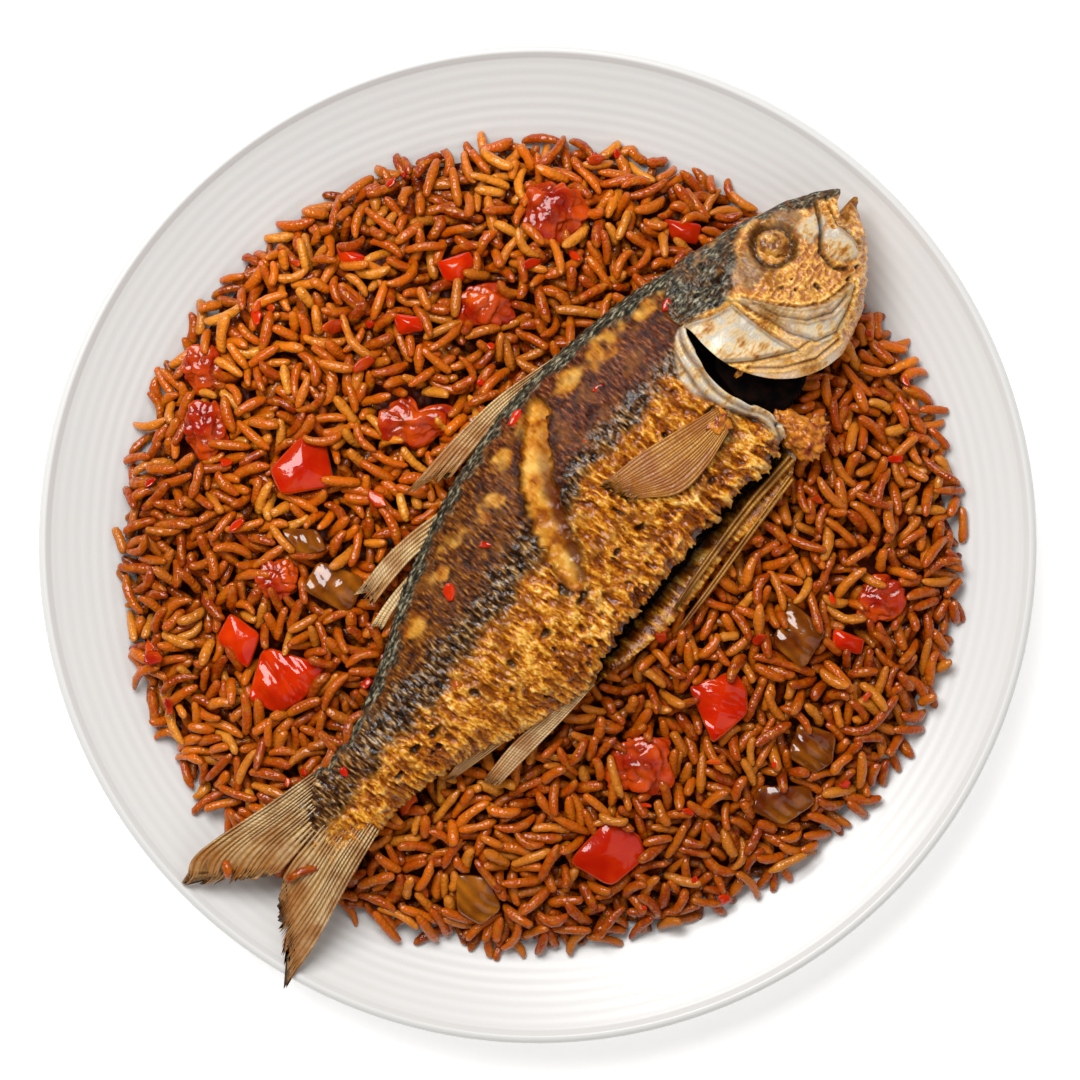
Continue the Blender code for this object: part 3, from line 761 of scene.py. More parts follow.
def grain_points(rows):
    """Points of every grain at once: a ring of six points at each stop along it, wide in the middle as
    (1 - t^6)^0.5, bent as c t^2 sideways, placed by the grain's heading, slope and roll."""
    x, y, z, yaw, slope, length, radius = (column[:, None] for column in rows.T)
    n = len(rows)
    t = RING_STOPS[None, :]
    uneven = 1 + 0.16 * hills(t * 2.3, np.arange(n)[:, None] * 7.3, seed=21)
    width = radius * (1 - np.abs(t) ** 6) ** 0.5 * uneven
    along_run = 1 / np.sqrt(1 + slope**2)
    axis = np.concatenate([np.cos(yaw) * along_run, np.sin(yaw) * along_run, slope * along_run], 1)
    side = np.concatenate([-np.sin(yaw), np.cos(yaw), np.zeros((n, 1))], 1)
    up = np.cross(axis, side)
    bend = random.normal(0, 0.085, (n, 1)) * length
    bend_up = random.normal(-0.02, 0.03, (n, 1)) * length
    flat = random.uniform(0.82, 1.0, (n, 1))
    middle = np.concatenate([x, y, z], 1)[:, None, :] + axis[:, None, :] * (t * length / 2)[..., None]
    middle = middle + side[:, None, :] * (bend * (t**2 - 0.35))[..., None]
    middle = middle + up[:, None, :] * (bend_up * t**2)[..., None]
    ring = (side[:, None, None, :] * np.cos(RING_TURN)[None, None, :, None]
            + up[:, None, None, :] * (np.sin(RING_TURN)[None, None, :] * flat[:, :, None])[..., None])
    rings = middle[:, :, None, :] + ring * width[:, :, None, None]
    tips = middle[:, [0, -1]] + axis[:, None, :] * np.array([-1, 1])[None, :,
                                                                     None] * (0.025 * length)[:, None, :]
    return np.concatenate([rings.reshape(n, -1, 3), tips], 1)


def grains_piece(name, rows, depth, material):
    """Joins the grains into one mesh. Each point knows its grain's tone, how deep in the heap the grain
    lies, its own place along the grain in millimetres, and how far it is from the grain's upper side."""
    points = grain_points(rows)
    n, per = points.shape[:2]
    floor_height = plate_floor(np.hypot(points[..., 0], points[..., 1]))
    points[..., 2] = np.maximum(points[..., 2], floor_height + 0.1 * MM)
    tone = np.repeat(random.uniform(0, 1, n), per)
    stops = np.append(np.repeat(RING_STOPS, RING_SIDES), (-1.03, 1.03))
    along = stops[None, :] * rows[:, 5:6] / MM + 9 * tone.reshape(n, per)[:, :1]
    upward = np.clip(np.sin(RING_TURN), 0, 1)
    flank = np.append(np.tile(1 - upward, len(RING_STOPS)), (1, 1))
    crowd_piece(name, points, len(RING_STOPS), RING_SIDES, material, "rice_heap", "stewed_rice", tone=tone,
                depth=np.repeat(depth, per), along=along.ravel(), flank=np.tile(flank, n))

# %% [markdown]
# A grain's colour is mixed from masks: its own random tone, how deep it lies, which is stew and painted
# shade, patches of the pot that caught more heat, a film of oil on its skin, painted shade low on its
# sides, and painted shade towards the bottom of the view.

# %% Rice colours
# Cooked rice fried in tomato and oil: half see-through, orange to red-brown, with a wet oily shine.
rice, tree, shader = start_material("oily_jollof_rice", Roughness=0.3, IOR=1.42, Subsurface_Weight=0.15,
                                    Subsurface_Scale=1.5 * MM, Subsurface_Radius=(1.0, 0.45, 0.15),
                                    Specular_IOR_Level=0.15, Coat_Weight=1.0, Coat_Roughness=0.06)
place = add(tree, "TexCoord").outputs["Object"]
tone = add(tree, "Attribute", attribute_name="tone").outputs["Fac"]
depth = add(tree, "Attribute", attribute_name="depth").outputs["Fac"]
flank = add(tree, "Attribute", attribute_name="flank").outputs["Fac"]
along = add(tree, "Attribute", attribute_name="along").outputs["Fac"]
own = add(tree, "ValToRGB", {"Fac": tone},
          ramp=[(0.0, "#a03400"), (0.25, "#d25802"), (0.7, "#f3780a"), (1.0, "#ffa834")]).outputs[0]
region = spots(tree, place, 26, 0.38, 0.62, 3.0)
oil = spots(tree, place, 480, 0.45, 0.75, 3.0)
# Painted shade: the sides and underside of each grain are darker than its top.
side_shade = add(tree, "MapRange", {"Value": flank, "From Min": 0.2, "From Max": 0.9, "To Max": 0.55}).outputs[0]
# Painted shade: the rice grows darker towards the bottom of the view, away from the window light.
across_plate = add(tree, "SeparateXYZ", {0: place}).outputs["Y"]
shade_away_from_window = {"Value": across_plate, "From Min": 0.09, "From Max": -0.1, "To Max": 0.25}
shade_away_from_window = add(tree, "MapRange", shade_away_from_window).outputs[0]
# The deepest grains turn red-brown: stew soaked in, and painted shade.
orange = layered(tree, own, (region, "#983200", 0.6), (depth, "#6e2000"), (oil, "#cc7410"),
                 (side_shade, "#6e2400"),
                 (shade_away_from_window, "#7c3404"))
# A skin with bumps of about 1 mm, and a faint ripple along the grain.
skin = add(tree, "TexNoise", {"Vector": place, "Scale": 1100.0, "Detail": 1.0}).outputs["Fac"]
ripple = add(tree, "Math", {0: summed(tree, (along, 3.1))}, operation="SINE").outputs[0]
finish(tree, shader, orange, summed(tree, (skin, 1.0), (ripple, 0.03)), 0.62, 0.6 * MM)

below = heap_height(grain_rows[:, 0], grain_rows[:, 1]) - grain_rows[:, 2]
grain_depth_shade = smooth(1.0 * MM, 6.0 * MM, below)
order = np.argsort(below)[::-1]
for name, part in zip(("rice_grains_low", "rice_grains_middle", "rice_grains_top"), np.array_split(order, 3)):
    grains_piece(name, grain_rows[part], grain_depth_shade[part], rice)

# %% [markdown]
# ## Pepper, onion and tomato
# A cut piece of pepper or onion is a slab with a domed outer side and a blunt cut edge. Its surface is
# worked out on rings from the middle of the upper side, over the edge, to the middle of the lower side.
# Pieces that stewed for long have wrinkles, which are random hills stretched one way.

# %% Slabs
SLAB_DIRECTIONS = 96
EDGE_SHARE = 0.90


def slab_rings(node, thickness, crown, wrinkle, wrinkle_turn):
    """Rings of a slab: on top z = crown (1 - s^2) for the share s of the way to the outline, round the edge
    a half circle, and underneath a shallow hollow. The slab leans as its solid does."""
    middle, slope, corners = lie_of(node)
    angle = (np.arange(SLAB_DIRECTIONS) + 0.5) * 2 * np.pi / SLAB_DIRECTIONS
    reach = outline_radius(corners, angle)
    top = np.linspace(0.05, EDGE_SHARE, 22)
    edge = np.linspace(0, np.pi, 11)[1:-1]
    low = np.linspace(EDGE_SHARE, 0.05, 8)
    share = np.concatenate([top, EDGE_SHARE + (1 - EDGE_SHARE) * np.sin(edge), low])[:, None]
    height = np.concatenate([thickness / 2 + crown * (1 - top**2),
                             (thickness / 2 + crown * 0.19) * np.cos(edge),
                             -thickness / 2 + crown * 0.5 * (1 - low**2)])
    x, y = share * reach * np.cos(angle), share * reach * np.sin(angle)
    c, s = math.cos(wrinkle_turn), math.sin(wrinkle_turn)
    seed = len(node) + middle[0] * 1e3
    folds = hills((x * c + y * s) / (2.2 * MM), (y * c - x * s) / (6.5 * MM), seed=seed, layers=2)
    soft = 0.25 * MM * hills(x / (5 * MM), y / (5 * MM), seed=middle[1] * 1e3)
    on_top = smooth(0.0, 1.0 * MM, height)[:, None]
    z = height[:, None] - crown * 0.4 + on_top * (wrinkle * folds + soft) + slope[0] * x + slope[1] * y
    skin = np.broadcast_to(on_top * smooth(1.0, 0.93, share), x.shape)
    return np.stack([x + middle[0], y + middle[1], z + middle[2]], -1), skin

# %% [markdown]
# Pepper and onion are wet, and some light gets into them. Both have a clear film over a mottled body, and
# light spreads a few millimetres inside, so their cut edges look soft.

# %% Pepper and onion finishes
# Fresh red pepper, softened in stew: a smooth red skin with a high gloss, and paler orange flesh at the
# cuts.
pepper, tree, shader = start_material("red_pepper_flesh", Roughness=0.2, IOR=1.42, Subsurface_Weight=0.1,
                                      Subsurface_Scale=1.5 * MM, Subsurface_Radius=(1.0, 0.25, 0.08),
                                      Specular_IOR_Level=0.15, Coat_Weight=1.0, Coat_Roughness=0.06)
place = add(tree, "TexCoord").outputs["Object"]
skin = add(tree, "Attribute", attribute_name="skin").outputs["Fac"]
mottle = spots(tree, place, 160, 0.35, 0.68, 3.0)
wide = spots(tree, place, 45, 0.40, 0.62, 1.0)
reds = layered(tree, "#cc1e00", (mottle, "#e23c02"), (wide, "#9c1202", 0.6))
pores = add(tree, "TexNoise", {"Vector": place, "Scale": 420.0, "Detail": 3.0}).outputs["Fac"]
finish(tree, shader, layered(tree, "#d8520f", (skin, reds)), pores, 0.2, 0.6 * MM)

# Onion stewed until glassy: amber to brown, see-through at the edges, with fine veins along each layer.
onion, tree, shader = start_material("glassy_onion", Roughness=0.2, IOR=1.45, Subsurface_Weight=0.3,
                                     Subsurface_Scale=3 * MM, Subsurface_Radius=(1.0, 0.5, 0.2),
                                     Coat_Weight=0.9, Coat_Roughness=0.05)
place = add(tree, "TexCoord").outputs["Object"]
wave = {"Vector": place, "Scale": 120.0, "Distortion": 1.4, "Detail": 2.0}
veins = add(tree, "TexWave", wave, bands_direction="DIAGONAL").outputs["Fac"]
patch = spots(tree, place, 110, 0.35, 0.66, 3.0)
amber = layered(tree, "#6a2602", (patch, "#b66a12"), (veins, "#4e2004", 0.45))
finish(tree, shader, amber, veins, 0.5, 0.5 * MM)

# %% [markdown]
# Now every pepper and onion solid gets its slab. Only the ones that lie with the inner side up have strong
# wrinkles.

# %% Lay the slabs
# Which slabs show their wrinkled inner side, how high the wrinkles are, and which way they run.
THICKNESS = {"pepper": 3.4 * MM, "onion": 3.0 * MM}
SLAB_CROWN = {"pepper": 1.7 * MM, "onion": 1.5 * MM}
WRINKLES = {"pepper_3": (0.75 * MM, 0.6), "pepper_7": (0.7 * MM, 1.25), "onion_1": (0.22 * MM, 2.6),
            "onion_2": (0.35 * MM, 1.1), "onion_3": (0.5 * MM, 0.9), "onion_6": (0.6 * MM, 0.4)}
for node in VEGETABLES:
    if node.startswith("tomato"):
        continue
    kind = node.split("_")[0]
    wrinkle, turn = WRINKLES.get(node, (0.05 * MM, 0.0))
    rings, skin = slab_rings(node, THICKNESS[kind], SLAB_CROWN[kind], wrinkle, turn)
    material, slot = (pepper, "red_pepper") if kind == "pepper" else (onion, "stewed_onion")
    ring_piece(node + "_cut", rings, material, node, slot, skin=skin)

# %% [markdown]
# Stewed tomato has lost its shape: a soft lump with folds of loose skin. It is a ball whose radius
# changes with direction, in two ways added together: soft hills for the lump, and creases where
# a hill changes sign, which read as folds and are painted dark as shade.

# %% Tomato lumps
LUMP_RINGS, LUMP_SIDES = 44, 80
LUMP_SIZE = np.array([1.04, 1.04, 0.85])
FORKED_LUMP, FORK_TURN = "tomato_3", 1.25


def lump_rings(node):
    """A ball of the solid's size: each point is moved out by random hills of its direction."""
    low, high = (np.array(corner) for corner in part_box(node))
    middle, half = (low + high) / 2, (high - low) / 2
    d = ball_directions(LUMP_RINGS, LUMP_SIDES)
    seed = float(np.round(middle[0] * 1e3))
    x, y, z = d[..., 0], d[..., 1], d[..., 2]
    lumps = 0.24 * hills(1.7 * x, 1.7 * y, 1.7 * z, seed, 2)
    folds = -0.16 * (1 - np.abs(hills(2.6 * x + 4, 2.6 * y, 2.6 * z, seed + 3))) ** 4
    beads = 0.03 * hills(6 * x, 6 * y, 6 * z, seed + 5, 2)
    if node == FORKED_LUMP:
        from_fork = np.angle(np.exp(1j * (np.arctan2(y, x) - FORK_TURN)))
        lumps = lumps - 0.62 * np.exp(-((from_fork / 0.42) ** 2)) * np.hypot(x, y)
    grow = 1.04 + lumps + folds + beads
    return middle + d * half * LUMP_SIZE * grow[..., None], folds

# %% [markdown]
# Tomato is painted darker in its folds, as shade, and brighter where the flesh is bare. The folds
# are stored on the points, and the material reads them.

# %% Tomato finish
# Tomato stewed in oil: soft dark red flesh under a thin wet skin, with many small points of light.
tomato, tree, shader = start_material("stewed_tomato_flesh", Roughness=0.3, IOR=1.42, Subsurface_Weight=0.15,
                                      Subsurface_Scale=2 * MM, Subsurface_Radius=(1.0, 0.2, 0.08),
                                      Specular_IOR_Level=0.15, Coat_Weight=1.0, Coat_Roughness=0.08)
place = add(tree, "TexCoord").outputs["Object"]
crease = add(tree, "Attribute", attribute_name="crease").outputs["Fac"]
patch = spots(tree, place, 130, 0.36, 0.66, 3.0)
# Painted shade: the folds are darkened.
flesh = layered(tree, "#a81a00", (patch, "#e2560a"), (crease, "#6a1000", 4.0))
grit = add(tree, "TexNoise", {"Vector": place, "Scale": 600.0, "Detail": 2.0}).outputs["Fac"]
finish(tree, shader, flesh, grit, 0.35, 0.6 * MM)
for node in VEGETABLES:
    if node.startswith("tomato"):
        rings, folds = lump_rings(node)
        ring_piece(node + "_lump", rings, tomato, node, "stewed_tomato", crease=-folds)

# %% [markdown]
# Between the large pieces lie dozens of scraps: chips of pepper and curled bits of tomato skin. Each is a
# small flat lens with an uneven outline, dropped at random on the finished heap and leaning with it.

# %% Scraps
SCRAPS = 40
SCRAP_SIDES = 10
SCRAP_SHARES = np.array([0.3, 0.75, 1.0, 0.7, 0.25])
SCRAP_LIFTS = np.array([0.5, 0.42, 0.0, -0.35, -0.4])


def scrap_points(x, y, z, size, long, turn, lean, seed):
    """Points of all scraps at once: rings that are wide as a share of the size, curled up along x."""
    n = len(x)
    around = np.arange(SCRAP_SIDES) * 2 * np.pi / SCRAP_SIDES
    outline = 1 + 0.45 * hills(np.cos(around) * 1.4 + seed[:, None], np.sin(around) * 1.4, seed=31)
    share = SCRAP_SHARES[None, :, None]
    flat_x = share * (outline * np.cos(around))[:, None, :] * (size * long)[:, None, None]
    flat_y = share * (outline * np.sin(around))[:, None, :] * size[:, None, None]
    up = SCRAP_LIFTS[None, :, None] * 0.5 * size[:, None, None] + flat_x**2 / (size * 6)[:, None, None]
    c, s = np.cos(turn)[:, None, None], np.sin(turn)[:, None, None]
    px, py = flat_x * c - flat_y * s, flat_x * s + flat_y * c
    pz = up + px * lean[0][:, None, None] + py * lean[1][:, None, None]
    rings = np.stack([px + x[:, None, None], py + y[:, None, None], pz + z[:, None, None]], -1)
    return np.concatenate([rings.reshape(n, -1, 3), rings[:, [0, -1]].mean(2)], 1)


def scraps_piece(name, sizes, material, slot):
    """Lays scraps on the finished pile, each with the pile's slope, and leaves out those over a fish or a
    lump."""
    angle = random.uniform(0, 2 * np.pi, SCRAPS)
    away = np.sqrt(random.uniform(0.02, 1, SCRAPS)) * (HEAP_RADIUS - 5 * MM)
    x, y = away * np.cos(angle), away * np.sin(angle)
    rows, cols = cell(y), cell(x)
    taken = np.max([blocked[rows + dr, cols + dc] for dr in (-4, 0, 4) for dc in (-4, 0, 4)], 0)
    open_air = (ceiling[rows, cols] > 0.5) & ~taken
    x, y, rows, cols = x[open_air], y[open_air], rows[open_air], cols[open_air]
    n = len(x)
    lean = [(field[rows + dr, cols + dc] - field[rows - dr, cols - dc]) / (6 * FIELD_STEP)
            for dr, dc in ((0, 3), (3, 0))]
    lean = [np.clip(v, -0.5, 0.5) for v in lean]
    size = random.uniform(*sizes, n)
    top = np.max([field[rows + dr, cols + dc] for dr in (-1, 0, 1) for dc in (-1, 0, 1)], 0) + 0.1 * MM
    long, turn, seed = random.uniform(1.0, 2.0, n), random.uniform(0, 6.3, n), random.uniform(0, 50, n)
    points = scrap_points(x, y, top, size, long, turn, lean, seed)
    count = n * points.shape[1]
    crowd_piece(name, points, len(SCRAP_SHARES), SCRAP_SIDES, material, slot=slot, skin=np.ones(count),
                crease=np.zeros(count))


scraps_piece("pepper_scraps", (0.7 * MM, 1.6 * MM), pepper, "red_pepper")
scraps_piece("tomato_skin_scraps", (0.8 * MM, 2.1 * MM), tomato, "stewed_tomato")

# %% [markdown]
# ## The fish's surface
# The fish is a stack of sections from the root of the tail to the snout. A section's place is given by q,
# from 1 at the back to -1 at the belly, on the near side and on the far side. The trunk and the head are
# two pieces that are cut from this same surface along slanting lines, so the head lies over the trunk as
# a gill cover does. Skin that has been fried shrinks and blisters: it is moved outwards along its normal
# by ridges of random hills.

# %% Fish surface
def section(x):
    """Middle, half height and half thickness of the body at x, in millimetres."""
    back, belly = through(BACK_LINE, x), through(BELLY_LINE, x)
    return (back + belly) / 2, (back - belly) / 2, through(HALF_THICKNESS, x)


def flank_z(x, y):
    """z of the near side over a place: thickness (1 - q^2)^0.5."""
    middle, half, thick = section(x)
    return thick * np.sqrt(np.clip(1 - ((y - middle) / half) ** 2, 0, 1))


def grid_normals(points):
    """Unit normals of a grid of rings, from the differences to the neighbours, pointing away from the
    middle."""
    normal = np.cross(np.gradient(points, axis=0), np.roll(points, -1, 1) - np.roll(points, 1, 1))
    normal /= np.maximum(np.linalg.norm(normal, axis=-1, keepdims=True), 1e-9)
    return normal * np.sign(np.sum(normal * (points - points.mean(1, keepdims=True))))


def ridges(x, y, wide, long, seed):
    """Wrinkles that run along y, from -1 to 1: 1 - 2.6 |hills|, so a crest where the hills change sign."""
    bend = 0.9 * hills(x / 7, y / 7, seed=seed + 9)
    return np.clip(1 - 2.6 * np.abs(hills(x / wide + bend, y / long, seed=seed, layers=2)), -1, 1)


def near_spots(x, y, places):
    """1 inside any of the ovals (x, y, half length, half height), 0 outside, with an uneven soft edge."""
    uneven = 0.25 * hills(x / 1.7, y / 1.7, seed=77)
    inside = [smooth(1.25, 0.7, np.hypot((x - px) / rx, (y - py) / ry) + uneven) for px, py, rx, ry in places]
    return np.max(inside, 0)


def line_mark(x, y, points, width):
    """1 on a line and 0 further from it than about twice the width: exp(-(d / width)^2)."""
    return np.exp(-(near_line(x, y, points) / width) ** 2)


# Where the trunk ends and the head starts, as x for each q: the near side of the gill opening and its
# cover.
TRUNK_END = ((-1, 153), (-0.8, 155), (-0.55, 153), (-0.3, 151.5), (-0.07, 152), (0.19, 155), (0.42, 158),
             (0.55, 161), (0.75, 165), (1, 174))
HEAD_START = ((-1, 180), (-0.9, 173.5), (-0.76, 167.5), (-0.6, 163.2), (-0.4, 160), (-0.2, 158), (0, 157),
              (0.19, 157.2), (0.38, 157.8), (0.5, 157), (0.75, 160), (1, 170))
print(f"the fish is {2 * flank_z(110, 1):.1f} mm thick at its widest")

# %% [markdown]
# The trunk's colours follow zones that a fried fish has: a dark scaly back, a brown upper flank, a grey
# band with silver flecks along the middle, and a golden, crackled lower flank. A gash was cut before
# frying, and its flesh is yellow. The zones are soft masks, and they are stored on the points for the
# material.

# %% Trunk zones
# Borders as (x, y), widths as (x, width), and soft ovals as (x, y, half length, half height), in
# millimetres.
GOLD_EDGE = ((-4, -1), (20, -2), (50, -0.5), (90, 1), (110, 5), (150, 6))
BAND_TOP = ((-4, 9), (20, 9), (50, 8), (90, 9), (120, 11), (150, 10))
BACK_WIDTH = ((-4, 1.5), (20, 2.5), (60, 3.6), (100, 2.6), (130, 3.2), (150, 4.5), (170, 4))
GASH = ((116.5, 28.5), (109, 23), (103, 17.5), (98, 10), (94, 3), (91, -4), (88, -10))
GASH_WIDTH = ((-16, 1.6), (-8, 3.0), (0, 4.3), (10, 4.6), (20, 3.9), (29, 2.4))
FLESH_SPOTS = ((140, 24.5, 7, 3.2), (127, 26, 5, 2.8), (112, 27, 5, 2.6), (99, 26, 4, 2.4),
               (88, 20.5, 4.5, 2.6), (75, 22.5, 4.5, 2.2), (66, 19, 3, 1.8), (52, 15.5, 4.5, 2.6),
               (155, 23, 4, 2.4), (163, 22, 3.5, 2))
FIN_ROOT = (142, -12.5, 5.5, 4.2)
TRUNK_HOLES = ((84, -9, 1.4, 2.4), (85.5, -13.8, 2.8, 1.2), (26, -5.6, 2.0, 0.9), (33, -6.8, 2.2, 0.9),
               (72, -12.4, 1.6, 1.2), (145, -8, 2.2, 1.1), (118, -9, 1.2, 1.8), (48, -8, 1.1, 1.4),
               (101, -13, 1.3, 0.8), (60, -10.5, 0.9, 1.5), (131, -20, 1.4, 0.9), (18, -7, 1.6, 0.8))
GIRDLE_WIDTH = ((-1, 2.4), (-0.5, 3.0), (-0.3, 3.8), (0, 6.8), (0.2, 7), (0.38, 3.5), (0.46, 0.4))


def trunk_zones(x, y, q, gap):
    """A mask from 0 to 1 for each zone of the trunk. gap is how far in front of a place the gill opening
    is. The border of each zone is shifted by random hills, so that it frays as burnt skin does."""
    gold = smooth(2.2, -2.2, y - through(GOLD_EDGE, x) + 2.4 * hills(x / 3.2, y / 5, seed=41, layers=2))
    frayed = 2.0 * hills(x / 3, y / 5, seed=42, layers=2)
    band = smooth(2.5, -2.5, y - through(BAND_TOP, x) + frayed) * (1 - gold)
    band = band * smooth(0, 22, x + 6 * hills(x / 3, y / 3, seed=49))
    stump = smooth(17, 8, x + 3 * hills(x / 3, y / 3, seed=50)) * smooth(-9, -6, y)
    band = np.maximum(band, 0.8 * stump * (1 - gold))
    frayed = 1.5 * hills(x / 4, y / 3, seed=43, layers=2)
    back = smooth(1.2, -1.2, through(BACK_LINE, x) - y - through(BACK_WIDTH, x) + frayed)
    uneven = 1 + 0.2 * hills(x / 1.5, y / 1.9, seed=47, layers=2)
    spread = near_line(x, y, GASH) / through(GASH_WIDTH, y) * uneven
    middle_x = through([(py, px) for px, py in GASH[::-1]], y)
    side = (x - middle_x) * 0.85 / through(GASH_WIDTH, y)
    gash = smooth(1.08, 0.82, spread + 0.14 * hills(x / 1.6, y / 1.6, seed=44))
    lip = np.exp(-((spread - 1.25) / 0.22) ** 2)
    # Painted shade on the gash's wall towards the head, where the groove lies in shadow.
    gash_shade = smooth(-0.2, 0.55, side + 0.18 * hills(x / 2, y / 3, seed=48)) * smooth(1.45, 0.9, side)
    gash_shade = gash_shade * (0.25 + 0.75 * smooth(26, 10, y)) * smooth(-16, -10, y) * smooth(0.3, 0.9, gash + 0.4)
    soft_flesh = near_spots(x, y, FLESH_SPOTS) * (0.5 + 0.6 * hills(x / 2.2, y / 3.6, seed=46, layers=2))
    soft_flesh = np.clip(soft_flesh, 0, 0.75)
    stray = smooth(1.0, 1.15, hills(x / 2.6, y / 3.4, seed=45, layers=2)) * gold
    hole = np.maximum(near_spots(x, y, TRUNK_HOLES), stray)
    girdle = smooth(0.9, -0.9, gap - through(GIRDLE_WIDTH, q)) * smooth(0.5, 0.4, q)
    slit = np.exp(-((gap - 3.4) / 0.55) ** 2) * smooth(-0.36, -0.44, q) * smooth(-0.92, -0.84, q)
    root = near_spots(x, y, (FIN_ROOT,))
    plain = (1 - gold) * (1 - band) * (1 - back)
    return dict(gold=gold, band=band, back=back, gash=gash, lip=lip, gash_shade=gash_shade, soft_flesh=soft_flesh,
                hole=hole, girdle=girdle, slit=slit, root=root, plain=plain)

# %% [markdown]
# Each zone also has its own relief, because light finds it first: gold skin is crackled across the body,
# the silver band is streaked, the back has scales, and the gash is sunken with a raised lip.

# %% Trunk relief
def trunk_look(x, y, q, gap):
    """Height of the relief in millimetres, and the nine masks that the skin's material reads. Each zone
    has its own relief: crackled gold, streaked silver, scales on the back, a sunken gash and the folded
    girdle."""
    zone = trunk_zones(x, y, q, gap)
    gold, band, back, plain = zone["gold"], zone["band"], zone["back"], zone["plain"]
    gash, lip, girdle, soft_flesh, root = (zone[k] for k in ("gash", "lip", "girdle", "soft_flesh", "root"))
    low_flank = smooth(-10, -20, y) * smooth(62, 74, x)
    crackle = 0.6 * ridges(x, y, 1.35, 5.4, 51) + 0.36 * ridges(x, y, 0.75, 2.6, 52)
    crackle = crackle + low_flank * 0.55 * ridges(x, y, 2.6, 3.6, 53)
    streak = ridges(x, y, 1.0, 3.4, 54)
    scales = np.cos(x * 2.6 + 2 * np.cos(y * 1.3)) * np.cos(y * 2.4 + x * 0.5)
    folds = np.cos(gap * 2.3 + 1.8 * hills(x / 4, y / 7, seed=64))
    stripes = np.cos(gap * 2.0 + 1.8 * hills(x / 4, y / 7, seed=64))

    height = gold * crackle + band * 0.26 * streak + back * 0.2 * scales
    height = height + plain * 0.16 * hills(x / 1.1, y / 1.7, seed=55, layers=2)
    height = height * (1 - 0.75 * np.maximum(soft_flesh, gash))
    height = height + 0.5 * hills(x / 14, y / 11, seed=56) + 0.3 * soft_flesh * hills(x / 4, y / 3, seed=57)
    height = height - 3.0 * gash + 0.15 * lip + gash * 0.45 * hills(x / 1.8, y / 4, seed=58, layers=2)
    height = height * (1 - girdle) + girdle * (0.6 + 0.35 * folds + 0.2 * hills(x / 2, y / 5, seed=59))
    height = height + root * (0.5 + 0.5 * hills(x / 1.8, y / 1.8, seed=60, layers=2))
    height = height - 1.5 * zone["hole"] - 1.8 * zone["slit"]
    tail_root = smooth(14, 4, x)
    height = height * (1 - 0.6 * tail_root) + tail_root * 0.45 * hills(x / 1.6, y / 1.6, seed=61, layers=2)

    flesh = np.maximum(gash, soft_flesh) * (1 - girdle)
    # Burnt holes, and painted shade: in the gill slit, on the gash's wall, as a dark outline round its lip
    # and at the breast fin's root.
    burnt_and_shade = np.maximum.reduce([zone["hole"], zone["slit"], zone["gash_shade"], 0.55 * lip, 0.55 * root])
    # crest: the relief's crests, which the gold paints bright as highlight, and its valleys, painted dark as
    # shade.
    crest = np.clip(0.5 + 0.5 * (gold * crackle / 0.9 + (1 - gold) * streak), 0, 1)
    masks = [gold * (1 - girdle), band * (1 - girdle), np.maximum(back, 0.6 * root), flesh,
             girdle * (0.6 + 0.38 * stripes), np.zeros_like(x), np.clip(burnt_and_shade, 0, 1),
             smooth(84, 112, x) * plain, crest]
    return height, np.stack(masks, -1)


print("zones of the trunk:", ", ".join(trunk_zones(*np.full((4, 1), 50.0))))

# %% [markdown]
# The trunk's rings have an opening in the belly: the near flank ends in a ragged edge, the outline turns
# into the hollow and comes back out on the strip of the far side. Towards the tail the opening closes.

# %% Trunk
TRUNK_RINGS = 400
NEAR_POINTS, FAR_POINTS = 150, 34
# The twelve points of a ring that line the slit belly: on the near flap's edge, down inside, and out
# again on the far side. Share of the way from the flap to the belly line, and millimetres added along y
# and z.
CUT_SHARE = np.array([0, 0, 0, 0, 0, 0, 0, 0.2, 0.4, 0.6, 0.85, 1.0])
CUT_Y = np.array([-0.1, 0.3, 1.5, 6, 12, 13, 6, 0, 0, 0, 0, 0.3])
CUT_Z = np.array([3.4, 2.7, 2.2, 1.8, 0.5, -2.0, -4.2, -5.6, -4.6, -3.6, -3.4, -3.4])


FLAP_EDGE = ((60, -29.2), (76, -28.0), (130, -27.6), (148, -28.6), (157, -26.0))
# How dark each of the twelve points inside the belly is painted, as shade.
INSIDE_SHADE = [0.2, 0.8, 1, 1, 1, 1, 1, 1, 0.5, 0, 0, 0]


def even_turns(count, start, stop):
    """Angles round an oval, closer together where it is long, so that the points are evenly spaced."""
    turn = np.linspace(start, stop, count)
    return turn + 0.2 * np.sin(2 * turn)


def fish_zones(masks):
    """The nine masks as the three attributes that the skin's material reads."""
    return {"zone_a": masks[..., 0:3], "zone_b": masks[..., 3:6], "zone_c": masks[..., 6:9]}


near_turn = even_turns(NEAR_POINTS, 0, np.pi)
far_turn = even_turns(FAR_POINTS + 2, np.pi, 2 * np.pi)[1:-1]
near_q, far_q = np.cos(near_turn), np.cos(far_turn)
cut_q = np.full(len(CUT_Y), -1.0)
q = np.concatenate([near_q, cut_q, far_q])
t = np.linspace(0, 1, TRUNK_RINGS)[:, None]
stop = through(TRUNK_END, q)
first = -13 + 2.5 * q**2 + 1.6 * hills(q * 5, 4.5, seed=63, layers=2)
x = first + (stop - first) * t
middle, half, thick = section(x)
thick = thick * (0.35 + 0.65 * smooth(-16, 2, x))
back_y, belly_y = middle + half, middle - half
open_share = smooth(64, 76, x)
ragged = 1.3 * hills(x / 1.7, 3.3, seed=62, layers=2)
flap_y = belly_y * (1 - open_share) + open_share * (through(FLAP_EDGE, x) + ragged)
near_y = back_y + (flap_y - back_y) * (1 - q) / 2
